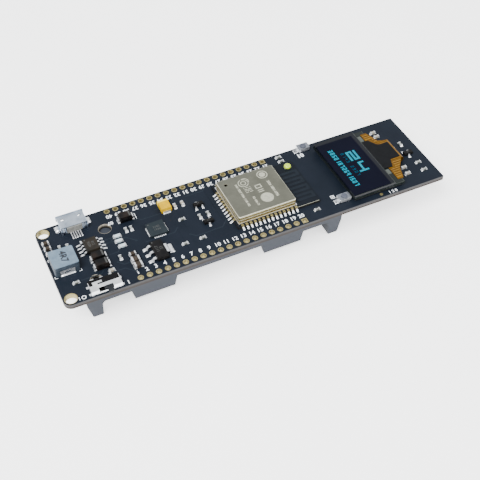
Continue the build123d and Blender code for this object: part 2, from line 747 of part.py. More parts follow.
def display_front_glass():
    return block(DISPLAY_X0, DISPLAY_X1, DISPLAY_Y0, DISPLAY_Y1, FRONT_GLASS_Z, DISPLAY_TOP)


def display_polariser():
    return block(*POLARISER_X, *POLARISER_Y, DISPLAY_TOP, DISPLAY_TOP + POLARISER_THICKNESS)


def display_driver_chip():
    return block(41.6, 42.9, -6.2, 4.6, FRONT_GLASS_Z, FRONT_GLASS_Z + 0.3)


def display_flex():
    """Flex tail: bonded to the glass ledge, narrowing to a neck that folds under and back to the board."""
    upper_z = FRONT_GLASS_Z
    lower_z = TOP
    thickness = FLEX_THICKNESS
    sheet_outline = [
        (43.1, -11.5),
        (44.9, -11.5),
        (46.2, -7.6),
        (FLEX_FOLD_X, FLEX_FOLD_Y - FLEX_FOLD_WIDTH / 2),
        (FLEX_FOLD_X, FLEX_FOLD_Y + FLEX_FOLD_WIDTH / 2),
        (46.6, FLEX_FOLD_Y + FLEX_FOLD_WIDTH / 2 + 0.6),
        (45.0, 9.9),
        (43.1, 9.9),
    ]
    upper = Pos(0, 0, upper_z) * extrude(Polygon(*sheet_outline, align=None), amount=thickness)
    fold_r = (upper_z + thickness - lower_z) / 2
    fold_z = lower_z + fold_r
    y0 = FLEX_FOLD_Y - FLEX_FOLD_WIDTH / 2
    y1 = FLEX_FOLD_Y + FLEX_FOLD_WIDTH / 2
    tube = Circle(fold_r) - Circle(fold_r - thickness)
    fold = extrude(Plane.XZ.offset(-y1) * Pos(FLEX_FOLD_X, fold_z) * tube, amount=FLEX_FOLD_WIDTH)
    fold &= block(FLEX_FOLD_X, FLEX_FOLD_X + 3, y0, y1, lower_z, upper_z + thickness)
    lower = block(45.2, FLEX_FOLD_X, y0, y1, lower_z, lower_z + thickness)
    return upper + fold + lower


# ---- write the nodes ----------------------------------------------------------------------------------


def write_board_and_holder():
    save("circuit_board", circuit_board())
    save("header_plating_front", *header_plating(-1))
    save("header_plating_back", *header_plating(1))
    save("corner_hole_plating", *corner_plating())
    save("battery_holder", battery_holder())
    save("battery_contact_positive", battery_contact(1))
    save("battery_contact_negative", battery_contact(-1))


def write_chips():
    ceramics = chips(MLCC_SIZE, MLCC_SITES, 0.34)
    bulk_ceramics = chips(BULK_MLCC_SIZE, BULK_MLCC_SITES, 0.5)
    groups = [
        ("ceramic_capacitor", ceramics[0] + bulk_ceramics[0], ceramics[1] + bulk_ceramics[1]),
        ("small_capacitor", *chips(SMALL_SIZE, SMALL_CAPACITOR_SITES, 0.35)),
        ("resistor", *chips(RESISTOR_SIZE, RESISTOR_SITES, 0.32)),
        ("indicator_led", *chips(INDICATOR_SIZE, INDICATOR_SITES, 0.42)),
    ]
    for name, bodies, caps in groups:
        save(f"{name}_bodies", *bodies)
        save(f"{name}_ends", *caps)
    save("diode_bodies", *[diode_body(site) for site in DIODE_SITES])
    save("diode_leads", *[lead for site in DIODE_SITES for lead in diode_leads(site)])


def write_packages():
    packages = {"charger_chip": charger_chip, "regulator": regulator, "usb_bridge_chip": usb_bridge_chip}
    for name, build in packages.items():
        body, leads = build()
        save(f"{name}_body", *body)
        save(f"{name}_leads", *leads)
    transistor_parts = [transistor(site) for site in TRANSISTOR_SITES]
    save("transistor_bodies", *[body for bodies, _ in transistor_parts for body in bodies])
    save("transistor_leads", *[lead for _, leads in transistor_parts for lead in leads])
    body, leads = tantalum()
    save("tantalum_capacitor_body", body)
    save("tantalum_capacitor_leads", *leads)
    case, clips = inductor()
    save("inductor_case", case)
    save("inductor_clips", *clips)
    lens, base, ends = status_led()
    save("status_led_lens", lens)
    save("status_led_base", *base, *ends)


def write_module():
    save("module_board", module_board())
    save("module_castellations", *module_pads())
    save("module_shield", module_shield())
    save("module_processor", module_chip(4.2, -1.2, 5.0, 5.0, 0.85))
    save("module_flash_chip", module_chip(4.6, 4.6, 4.0, 3.0, 0.8))
    save("module_crystal", module_chip(-1.4, -1.6, 2.5, 2.0, 0.6))


def write_connectors_and_controls():
    save("usb_shell", usb_shell())
    save("usb_tongue", usb_tongue())
    save("usb_contacts", *usb_contacts())
    save("slide_switch_shell", slide_switch_shell())
    save("slide_switch_base", slide_switch_base())
    save("slide_switch_knob", slide_switch_knob())
    save("slide_switch_wiper", slide_switch_wiper())
    save("slide_switch_pins", *slide_switch_pins())
    for name, site in (("reset_button", RESET_BUTTON), ("boot_button", BOOT_BUTTON)):
        save(f"{name}_cover", button_cover(site))
        save(f"{name}_plunger", button_plunger(site))
        save(f"{name}_dome", button_dome(site))
    save("button_bases", button_base(RESET_BUTTON), button_base(BOOT_BUTTON))
    save("button_terminals", *button_terminals(RESET_BUTTON), *button_terminals(BOOT_BUTTON))


def write_display():
    save("display_foam_pad", display_foam())
    save("display_rear_glass", display_rear_glass())
    save("display_front_glass", display_front_glass())
    save("display_polariser", display_polariser())
    save("display_driver_chip", display_driver_chip())
    save("display_flex_tail", display_flex())


write_board_and_holder()
write_chips()
write_packages()
write_module()
write_connectors_and_controls()
write_display()
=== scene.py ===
import math
import random

import bmesh
import bpy
from mathutils import Matrix, Vector


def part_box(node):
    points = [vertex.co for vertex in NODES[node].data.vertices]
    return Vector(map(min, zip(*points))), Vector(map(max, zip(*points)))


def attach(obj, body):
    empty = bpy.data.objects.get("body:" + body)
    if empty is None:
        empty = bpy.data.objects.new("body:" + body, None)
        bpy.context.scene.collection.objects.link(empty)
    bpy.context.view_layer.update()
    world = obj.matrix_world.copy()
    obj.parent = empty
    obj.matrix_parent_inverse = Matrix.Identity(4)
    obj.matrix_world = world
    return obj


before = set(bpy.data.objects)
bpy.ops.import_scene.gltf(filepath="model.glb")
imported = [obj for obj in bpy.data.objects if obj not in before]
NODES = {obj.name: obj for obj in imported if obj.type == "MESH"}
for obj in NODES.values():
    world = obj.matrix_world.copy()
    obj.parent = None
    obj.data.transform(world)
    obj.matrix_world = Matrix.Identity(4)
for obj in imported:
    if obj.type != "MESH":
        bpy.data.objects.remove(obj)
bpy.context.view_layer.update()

# Looks for a microcontroller dev board: materials, solder, ink, copper, display picture and small marks.
#
# Numbers are millimetres in the CAD frame (+X towards the display, +Y towards the USB mouth, +Z up) and turn
# into metres when a mesh is made. Only the floor, the lamps and the camera are placed in metres.

MM = 0.001


# ---- reading the frame ----


def extent(node):
    """Lowest and highest corner of a CAD node, in millimetres."""
    low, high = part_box(node)
    return low / MM, high / MM


def islands(node):
    """Lowest and highest corner of each separate solid of a CAD node, in millimetres."""
    shape = bmesh.new()
    shape.from_mesh(NODES[node].data)
    bmesh.ops.remove_doubles(shape, verts=shape.verts, dist=1e-7)
    waiting = set(shape.verts)
    found = []
    while waiting:
        stack = [waiting.pop()]
        group = list(stack)
        while stack:
            for edge in stack.pop().link_edges:
                for vertex in edge.verts:
                    if vertex in waiting:
                        waiting.remove(vertex)
                        group.append(vertex)
                        stack.append(vertex)
        low = Vector(min(v.co[axis] for v in group) for axis in range(3)) / MM
        high = Vector(max(v.co[axis] for v in group) for axis in range(3)) / MM
        found.append((low, high))
    shape.free()
    return sorted(found, key=lambda box: (round(box[0].x, 3), round(box[0].y, 3)))


BOARD_LOW, BOARD_HIGH = extent("circuit_board")
TOP = BOARD_HIGH.z
BOTTOM = BOARD_LOW.z
INK_TOP = TOP + 0.018  # printed ink
PAD_TOP = TOP + 0.03  # solder pads
SUNK = 0.004  # how far a mark reaches down into the face that it lies on


# ---- materials ----


LOOKS = {}
SOCKETS = {
    "rough": "Roughness",
    "metal": "Metallic",
    "specular": "Specular IOR Level",
    "coat": "Coat Weight",
    "coat_rough": "Coat Roughness",
    "glow": "Emission Strength",
}


class Look:
    """A node material under construction: object coordinates in millimetres feed every texture."""

    def __init__(self, name):
        """A new material, kept under its name, with its object coordinates in millimetres."""
        LOOKS[name] = self.material = bpy.data.materials.new(name)
        self.material.use_nodes = True
        self.tree = self.material.node_tree
        self.shader = self.tree.nodes["Principled BSDF"]
        coordinates = self.node("TexCoord")
        self.normal = coordinates.outputs["Normal"]
        scale = self.node("VectorMath")
        scale.operation = "SCALE"
        scale.inputs["Scale"].default_value = 1 / MM
        self.link(coordinates.outputs["Object"], scale.inputs[0])
        self.place = scale.outputs["Vector"]

    def node(self, kind):
        """A new shader node."""
        return self.tree.nodes.new("ShaderNode" + kind)

    def link(self, source, target):
        """Joins an output to an input."""
        self.tree.links.new(source, target)

    def noise(self, size, detail=3.0, stretch=(1, 1, 1)):
        """Cloudy noise whose blotches are about size millimetres across."""
        stretched = self.node("VectorMath")
        stretched.operation = "MULTIPLY"
        stretched.inputs[1].default_value = stretch
        self.link(self.place, stretched.inputs[0])
        node = self.node("TexNoise")
        node.inputs["Scale"].default_value = 1 / size
        node.inputs["Detail"].default_value = detail
        node.inputs["Roughness"].default_value = 0.55
        self.link(stretched.outputs["Vector"], node.inputs["Vector"])
        return node.outputs["Fac"]

    def ramp(self, source, stops):
        """Colour ramp: stops are (position, colour)."""
        node = self.node("ValToRGB")
        points = node.color_ramp.elements
        while len(points) < len(stops):
            points.new(0.5)
        for point, (position, colour) in zip(points, stops):
            point.position = position
            point.color = (*colour, 1)
        self.link(source, node.inputs["Fac"])
        return node.outputs["Color"]

    def tones(self, source, dark, light):
        """Two close tones, blended where the source runs from 0.3 to 0.7."""
        return self.ramp(source, [(0.3, dark), (0.7, light)])

    def span(self, source, low, high, to_low, to_high):
        """Maps a range of values to another, clamped."""
        node = self.node("MapRange")
        for key, value in (("From Min", low), ("From Max", high), ("To Min", to_low), ("To Max", to_high)):
            node.inputs[key].default_value = value
        self.link(source, node.inputs["Value"])
        return node.outputs["Result"]

    def step(self, source, low, high):
        """Runs from 0 to 1 between two values."""
        return self.span(source, low, high, 0.0, 1.0)

    def mix(self, factor, first, second):
        """Mixes two colours, given as sockets."""
        node = self.node("Mix")
        node.data_type = "RGBA"
        self.link(factor, node.inputs[0])
        self.link(first, node.inputs[6])
        self.link(second, node.inputs[7])
        return node.outputs[2]

    def axis(self, vector, name):
        """One coordinate of a vector."""
        node = self.node("SeparateXYZ")
        self.link(vector, node.inputs[0])
        return node.outputs[name]

    def maths(self, operation, source, factor=1.0):
        """One step of arithmetic on a value."""
        node = self.node("Math")
        node.operation = operation
        node.inputs[1].default_value = factor
        self.link(source, node.inputs[0])
        return node.outputs[0]

    def bump(self, source, height):
        """Adds a bump whose full height is given in millimetres."""
        node = self.node("Bump")
        node.inputs["Strength"].default_value = 1.0
        node.inputs["Distance"].default_value = height * MM
        self.link(source, node.inputs["Height"])
        previous = self.shader.inputs["Normal"]
        if previous.is_linked:
            self.link(previous.links[0].from_socket, node.inputs["Normal"])
        self.link(node.outputs["Normal"], self.shader.inputs["Normal"])

    def set(self, **values):
        """Uniform values, straight on the shader's sockets."""
        for key, value in values.items():
            self.shader.inputs[SOCKETS[key]].default_value = value
        return self

    def colour(self, source):
        """The surface's own colour, from a colour socket."""
        self.link(source, self.shader.inputs["Base Color"])

    def roughness(self, source, low, high):
        """Roughness that runs between two values with the source."""
        self.link(self.span(source, 0.3, 0.7, low, high), self.shader.inputs["Roughness"])


def scaled(colour, factor):
    """A colour made lighter or darker."""
    return tuple(factor * value for value in colour)


def grained(name, dark, light, blotch, grain, rough, relief, detail=2.0, **values):
    """Common recipe: two close tones in blotches, roughness that varies, and a fine grain in relief.

    blotch, grain and relief are sizes in millimetres; rough is the least and the greatest roughness.
    """
    look = Look(name).set(**values)
    clouds = look.noise(blotch)
    look.colour(look.tones(clouds, dark, light))
    look.roughness(clouds, *rough)
    look.bump(look.noise(grain, detail), relief)
    return look


def faced(name, blotch, top, side, turn, grain, rough, relief, **values):
    """Recipe with one pair of tones on the upward faces and another on the sides; turn is where they meet.
    The difference between the pairs is painted light and shade.
    """
    look = Look(name).set(**values)
    clouds = look.noise(blotch)
    up = look.step(look.axis(look.normal, "Z"), *turn)
    look.colour(look.mix(up, look.tones(clouds, *side), look.tones(clouds, *top)))
    look.roughness(clouds, *rough)
    look.bump(look.noise(grain), relief)


def solder_mask(name, dark, light, cut=1.0):
    """Satin navy mask on the flat sides, and bare glass-epoxy with its layer lines on the cut edges."""
    look = Look(name).set(specular=0.09)
    clouds = look.noise(9.0)
    weave = look.noise(0.5, detail=1.0, stretch=(1, 0.25, 1))
    mask = look.tones(clouds, dark, light)
    grain = look.noise(0.35, stretch=(0.5, 0.5, 5))
    fibre = (0.026, 0.022, 0.0195), (0.044, 0.037, 0.033)
    cured = (0.042, 0.040, 0.041), (0.058, 0.056, 0.057)
    epoxy, resin = (look.tones(grain, *(scaled(tone, cut) for tone in pair)) for pair in (fibre, cured))
    height = look.axis(look.place, "Z")
    core = look.step(height, BOTTOM + 0.62, BOTTOM + 0.95)
    edge = look.mix(core, epoxy, resin)
    face = look.step(look.maths("ABSOLUTE", look.axis(look.normal, "Z")), 0.4, 0.6)
    look.colour(look.mix(face, edge, mask))
    look.roughness(clouds, 0.42, 0.54)
    look.bump(weave, 0.004)


def contact_nickel():
    """Bright nickel spring strip with faint lines across it."""
    tones = (0.50, 0.49, 0.46), (0.66, 0.65, 0.62)
    look = grained("contact_nickel", *tones, 2.5, 0.3, (0.2, 0.34), 0.004, metal=1.0)
    look.bump(look.noise(0.35, stretch=(1, 12, 1)), 0.003)


def rolled_steel(name, dark, light):
    """Stamped and plated sheet with faint rolling lines."""
    look = grained(name, dark, light, 1.6, 0.2, (0.24, 0.4), 0.003, metal=1.0)
    look.bump(look.noise(0.22, stretch=(0.08, 1, 1)), 0.003)


def pressed_cover():
    """Button cover: brushed mid-grey top, and folded sides painted bright as a highlight."""
    top = (0.21, 0.23, 0.27), (0.31, 0.33, 0.37)
    # side tones: painted highlight on the folded sides
    side = (0.70, 0.72, 0.75), (0.92, 0.93, 0.95)
    faced("pressed_cover", 0.9, top, side, (0.9, 0.99), 0.12, (0.28, 0.42), 0.003, metal=0.9)


def shield_metal():
    """Nickel-silver can: brushed top, bends painted lighter as highlight, and sides that step in at mid
    height, painted in bands of highlight and of gold reflected from the pads.
    """
    look = Look("shield_metal").set(metal=0.85)
    clouds = look.noise(3.5)
    lines = look.noise(0.16, detail=2.0, stretch=(0.04, 1, 1))
    top = look.tones(clouds, (0.132, 0.133, 0.104), (0.168, 0.168, 0.134))
    low, high = extent("module_shield")
    height = look.step(look.axis(look.place, "Z"), low.z, high.z)
    # painted light on the sides by height: the bright bands are painted highlights along the rims and the
    # step, the tan and pale ones a painted reflection of the gold pads
    bright = (0.70, 0.67, 0.50)
    tan = (0.17, 0.12, 0.030)
    pale = (0.42, 0.36, 0.17)
    bands = [(0.06, bright), (0.12, tan), (0.38, tan), (0.44, bright)]
    bands += [(0.54, bright), (0.60, tan), (0.80, pale), (0.9, bright)]
    side = look.ramp(height, bands)
    up = look.axis(look.normal, "Z")
    # the bends between top and sides get a painted highlight, in the lighter tones below
    bend = look.step(up, 0.05, 0.35)
    flat = look.step(up, 0.93, 0.99)
    bend_highlight = look.mix(bend, side, look.tones(clouds, (0.50, 0.49, 0.39), (0.60, 0.58, 0.46)))
    look.colour(look.mix(flat, bend_highlight, top))
    look.roughness(lines, 0.36, 0.5)
    look.bump(lines, 0.003)


def warm_epoxy(name, dark, light):
    """Moulding compound with a painted brown sheen: blotches of warm brown over part of it, as on the charger
    chip and the diodes.
    """
    look = Look(name).set(specular=0.14)
    clouds = look.noise(2.6, detail=1.0)
    # the warm light end of the ramp is a painted brown sheen, in blotches
    look.colour(look.ramp(clouds, [(0.38, dark), (0.62, light)]))
    look.roughness(clouds, 0.26, 0.42)
    look.bump(look.noise(0.09), 0.006)


def tantalum_yellow():
    """Moulded body: orange-yellow, with a lighter band printed across its +Y end."""
    look = Look("tantalum_yellow").set(specular=0.05)
    band_y = extent("tantalum_capacitor_body")[1].y - 0.7  # where the printed band begins
    clouds = look.noise(1.0)
    body = look.tones(clouds, (0.42, 0.245, 0.0), (0.53, 0.325, 0.0))
    band = look.tones(clouds, (0.78, 0.56, 0.05), (0.84, 0.62, 0.09))
    across = look.axis(look.place, "Y")
    look.colour(look.mix(look.step(across, band_y - 0.05, band_y + 0.05), body, band))
    look.roughness(clouds, 0.4, 0.5)
    look.bump(look.noise(0.1), 0.006)


def ferrite():
    """Blue-grey pressed ferrite powder case, with painted shade darkening its sides."""
    top = (0.092, 0.135, 0.182), (0.130, 0.180, 0.232)
    # side tones: painted shade on the case's sides
    side = (0.018, 0.026, 0.036), (0.036, 0.048, 0.064)
    faced("ferrite", 1.2, top, side, (0.5, 0.8), 0.11, (0.42, 0.56), 0.012, specular=0.2)


def green_lens():
    """Yellow-green lamp lens with a soft glow of its own tint."""
    tones = (0.36, 0.50, 0.004), (0.48, 0.62, 0.012)
    look = grained("green_lens", *tones, 0.6, 0.12, (0.15, 0.25), 0.002, coat=0.4, glow=0.12)
    look.shader.inputs["Emission Color"].default_value = (0.45, 0.62, 0.01, 1)


def thin_glass(name, tint):
    """Thin glass over black: dark, faintly green, and very smooth."""
    values = {"coat": 0.08, "coat_rough": 0.06, "specular": 0.16}
    grained(name, tint, scaled(tint, 1.35), 6.0, 5.0, (0.14, 0.24), 0.002, 1.0, **values)


def lit_pixel(name, tint, glow):
    """Glowing display dots with a faint unevenness from dot to dot; unlit they would be nearly black."""
    look = Look(name).set(rough=0.35, specular=0.05, glow=glow)
    dots = look.noise(0.3)
    look.colour(look.tones(dots, scaled(tint, 0.02), scaled(tint, 0.03)))
    look.link(look.tones(dots, scaled(tint, 0.8), tint), look.shader.inputs["Emission Color"])


CONDUCTOR_PITCH = 0.62  # spacing of the copper lines in the flex


def flex_film():
    """Orange polyimide: fine copper lines run along it under the film."""
    look = Look("flex_film").set(coat=0.05, coat_rough=0.25, specular=0.1)
    clouds = look.noise(2.5)
    phase = look.maths("MULTIPLY", look.axis(look.place, "Y"), 2 * math.pi / CONDUCTOR_PITCH)
    lines = look.step(look.maths("SINE", phase), -0.1, 0.35)
    film = look.tones(clouds, (0.040, 0.016, 0.0), (0.080, 0.034, 0.0))
    copper = look.tones(clouds, (0.085, 0.038, 0.0), (0.150, 0.072, 0.001))
    look.colour(look.mix(lines, film, copper))
    look.roughness(clouds, 0.32, 0.45)
    look.bump(lines, 0.006)


def floor_white():
    """Seamless white paper, lifted a little by its own glow so that it reads as white."""
    look = Look("floor_white").set(specular=0.1, glow=1.5)
    clouds = look.noise(80.0)
    look.colour(look.tones(clouds, (0.90, 0.90, 0.90), (0.94, 0.94, 0.94)))
    look.shader.inputs["Emission Color"].default_value = (1.0, 1.0, 1.0, 1)
    look.roughness(clouds, 0.8, 0.9)


# ---- the looks themselves ----


solder_mask("solder_mask", (0.0048, 0.0074, 0.0124), (0.007, 0.0102, 0.0166))
solder_mask("module_mask", (0.0034, 0.005, 0.008), (0.005, 0.007, 0.0105), 0.25)
rolled_steel("drawn_steel", (0.38, 0.44, 0.52), (0.54, 0.61, 0.7))
rolled_steel("bright_steel", (0.8, 0.82, 0.85), (0.95, 0.96, 0.98))
# charger chip and diodes: near-black epoxy with a painted brown sheen
warm_epoxy("brown_sheen_epoxy", (0.0075, 0.0075, 0.0068), (0.0165, 0.0135, 0.01))
warm_epoxy("diode_epoxy", (0.0024, 0.0024, 0.0028), (0.01, 0.0066, 0.005))
thin_glass("display_glass", (0.0032, 0.004, 0.0062))
thin_glass("ledge_glass", (0.006, 0.0085, 0.008))
thin_glass("clear_glass", (0.048, 0.055, 0.048))
lit_pixel("lit_pixels", (0.0, 0.46, 0.64), 1.35)
lit_pixel("dim_pixels", (0.0, 0.15, 0.26), 1.0)
contact_nickel()
pressed_cover()
shield_metal()
tantalum_yellow()
ferrite()
green_lens()
flex_film()
floor_white()
# thin immersion gold: olive-tan, and satin rather than mirror-bright
grained("gold_plating", (0.27, 0.225, 0.095), (0.4, 0.345, 0.165), 0.6, 0.12, (0.36, 0.52), 0.004, metal=0.8)
# bright tin with soft frosting
grained("tin_solder", (0.74, 0.76, 0.78), (0.95, 0.96, 0.97), 0.5, 0.16, (0.2, 0.42), 0.012, metal=0.9)
# plated leads, terminals and end caps
grained("tinned_lead", (0.72, 0.74, 0.77), (0.92, 0.94, 0.96), 0.8, 0.1, (0.28, 0.44), 0.003, metal=0.9)
# dark slate thermoplastic with an eroded mould texture
grained(
    "holder_plastic", (0.02, 0.024, 0.033), (0.028, 0.033, 0.044),
    7.0, 0.22, (0.5, 0.64), 0.012, specular=0.3,
)
# etched marks on the can: lighter and duller than the metal; also the painted highlight along the module's
# edge
grained("etch_mark_and_highlight", (0.29, 0.29, 0.23), (0.41, 0.41, 0.33), 0.5, 0.08, (0.5, 0.62), 0.003, metal=0.3)
# moulding compound: near-black with a fine sparkle of filler
grained(
    "black_epoxy", (0.0026, 0.0026, 0.0032), (0.0055, 0.005, 0.0052),
    1.4, 0.09, (0.32, 0.44), 0.006, specular=0.12,
)
# flat package whose face is hardly lighter than the mask around it
grained(
    "leadless_epoxy", (0.0085, 0.013, 0.0165), (0.0125, 0.018, 0.0215),
    1.6, 0.09, (0.42, 0.56), 0.005, specular=0.14,
)
# laser marks on moulding compound
grained("chip_mark", (0.02, 0.021, 0.021), (0.036, 0.037, 0.035), 0.4, 0.08, (0.5, 0.6), 0.002)
# drilled wall of the locating holes: pale glass fibre and resin
grained("hole_wall", (0.14, 0.125, 0.1), (0.25, 0.225, 0.18), 0.5, 0.08, (0.5, 0.6), 0.004, specular=0.2)
# large ceramic capacitors
grained(
    "ceramic_brown", (0.016, 0.012, 0.009), (0.042, 0.032, 0.024),
    0.5, 0.07, (0.35, 0.5), 0.006, specular=0.2,
)
# small ceramic capacitors
grained("ceramic_grey", (0.2, 0.18, 0.14), (0.34, 0.32, 0.27), 0.5, 0.07, (0.35, 0.5), 0.006, specular=0.3)
# dark glaze over a chip resistor
grained(
    "resistor_glaze", (0.055, 0.06, 0.052), (0.13, 0.14, 0.125), 0.5, 0.1, (0.25, 0.4), 0.003, specular=0.4
)
# mask over the antenna's copper, a shade darker than over the board's tracks
grained(
    "antenna", (0.0056, 0.0084, 0.0122), (0.008, 0.0115, 0.0165),
    3.0, 0.4, (0.42, 0.54), 0.002, specular=0.09,
)
# pale plastic tongue inside the USB shell
grained("insulator", (0.125, 0.125, 0.115), (0.19, 0.19, 0.175), 0.8, 0.12, (0.4, 0.5), 0.004)
# clouded lens of the small indicator lamps
grained("milky_lens", (0.34, 0.42, 0.46), (0.56, 0.64, 0.66), 0.5, 0.1, (0.2, 0.32), 0.003, coat=0.2)
# black base plastic of the switch and the buttons
grained(
    "switch_black", (0.0022, 0.0022, 0.0028), (0.005, 0.005, 0.0056),
    1.2, 0.12, (0.4, 0.52), 0.005, specular=0.1,
)
# charcoal plastic of the sliding knob
grained(
    "knob_grey", (0.006, 0.0072, 0.0092), (0.012, 0.0138, 0.0168),
    1.2, 0.12, (0.36, 0.5), 0.006, specular=0.2,
)
# slate-blue plastic of the two button plungers
grained(
    "plunger_blue", (0.048, 0.054, 0.074), (0.07, 0.077, 0.1),
    0.7, 0.1, (0.36, 0.48), 0.004, specular=0.25,
)
# polariser film: nearly black with a violet cast and a slight satin finish
grained(
    "display_film", (0.0012, 0.0016, 0.0058), (0.0018, 0.0023, 0.008),
    8.0, 0.25, (0.34, 0.46), 0.001, 3.0, specular=0.05,
)
# copper tone: the flex's conductors, and the thin tan lines at the fold and along the edges of the flex,
# which are a painted highlight
grained("copper_and_edge_highlight", (0.16, 0.075, 0.004), (0.26, 0.13, 0.01), 0.6, 0.1, (0.35, 0.5), 0.003, metal=0.4)
# matt tape on the flex, and the display's bare driver chip
grained(
    "black_tape", (0.0018, 0.0021, 0.0028), (0.0038, 0.0042, 0.0052),
    1.5, 0.15, (0.34, 0.48), 0.004, specular=0.1,
)
# open-cell foam under the display
grained("foam", (0.006, 0.006, 0.007), (0.015, 0.015, 0.017), 0.5, 0.14, (0.8, 0.95), 0.05)
# screen-printed ink with a slightly uneven edge of tone
grained("white_ink", (0.66, 0.7, 0.74), (0.86, 0.88, 0.9), 0.6, 0.1, (0.45, 0.6), 0.004, specular=0.2)
# near-black print on the inductor
grained("dark_ink", (0.006, 0.009, 0.014), (0.012, 0.016, 0.022), 0.5, 0.1, (0.4, 0.5), 0.002)
# solder mask where copper lies under it: a little lighter and greener than on bare epoxy
grained(
    "covered_copper", (0.0082, 0.0126, 0.0186), (0.0118, 0.017, 0.0245),
    3.0, 0.4, (0.42, 0.54), 0.002, specular=0.1,
)
# pale body of the status lamp
grained("lamp_base", (0.07, 0.08, 0.06), (0.13, 0.14, 0.1), 0.5, 0.1, (0.4, 0.5), 0.003)


NODE_LOOKS = {
    "solder_mask": "circuit_board",
    "module_mask": "module_board",
    "gold_plating": "header_plating_front header_plating_back corner_hole_plating module_castellations",
    "holder_plastic": "battery_holder",
    "contact_nickel": "battery_contact_positive battery_contact_negative slide_switch_wiper",
    "drawn_steel": "usb_shell reset_button_dome boot_button_dome",
    "bright_steel": "slide_switch_shell",
    "pressed_cover": "reset_button_cover boot_button_cover",
    "tinned_lead": "diode_leads charger_chip_leads regulator_leads usb_bridge_chip_leads transistor_leads "
    "tantalum_capacitor_leads inductor_clips slide_switch_pins button_terminals usb_contacts "
    "ceramic_capacitor_ends small_capacitor_ends resistor_ends indicator_led_ends",
    "insulator": "usb_tongue",
    "ferrite": "inductor_case",
    "black_epoxy": "regulator_body transistor_bodies module_processor module_flash_chip",
    "brown_sheen_epoxy": "charger_chip_body",
    "diode_epoxy": "diode_bodies",
    "leadless_epoxy": "usb_bridge_chip_body",
    "ceramic_brown": "ceramic_capacitor_bodies",
    "ceramic_grey": "small_capacitor_bodies",
    "resistor_glaze": "resistor_bodies",
    "tantalum_yellow": "tantalum_capacitor_body",
    "milky_lens": "indicator_led_bodies",
    "lamp_base": "status_led_base",
    "green_lens": "status_led_lens",
    "shield_metal": "module_shield module_crystal",
    "switch_black": "slide_switch_base button_bases",
    "knob_grey": "slide_switch_knob",
    "plunger_blue": "reset_button_plunger boot_button_plunger",
    "display_glass": "display_front_glass",
    "ledge_glass": "display_rear_glass",
    "display_film": "display_polariser",
    "black_tape": "display_driver_chip",
    "flex_film": "display_flex_tail",
    "foam": "display_foam_pad",
}


def paint_nodes():
    """Gives every slot of every CAD node its look."""
    unpainted = set(NODES)
    for look, names in NODE_LOOKS.items():
        for name in names.split():
            unpainted.remove(name)
            for place in NODES[name].material_slots:
                place.material = LOOKS[look]
    if unpainted:
        raise ValueError(f"these nodes have no look: {sorted(unpainted)}")


def soften(node, width, segments=2):
    """Rounds a CAD node's hard edges a little, as moulding and plating do."""
    piece = NODES[node]
    weld = piece.modifiers.new("weld", "WELD")
    weld.merge_threshold = 1e-6
    bevel = piece.modifiers.new("bevel", "BEVEL")
    bevel.width = width * MM
    bevel.segments = segments
    bevel.limit_method = "ANGLE"
    bevel.angle_limit = math.radians(40)


# ---- making pieces ----


def show(name, data):
    """Puts a new object into the scene."""
    thing = bpy.data.objects.new(name, data)
    bpy.context.scene.collection.objects.link(thing)
    return thing


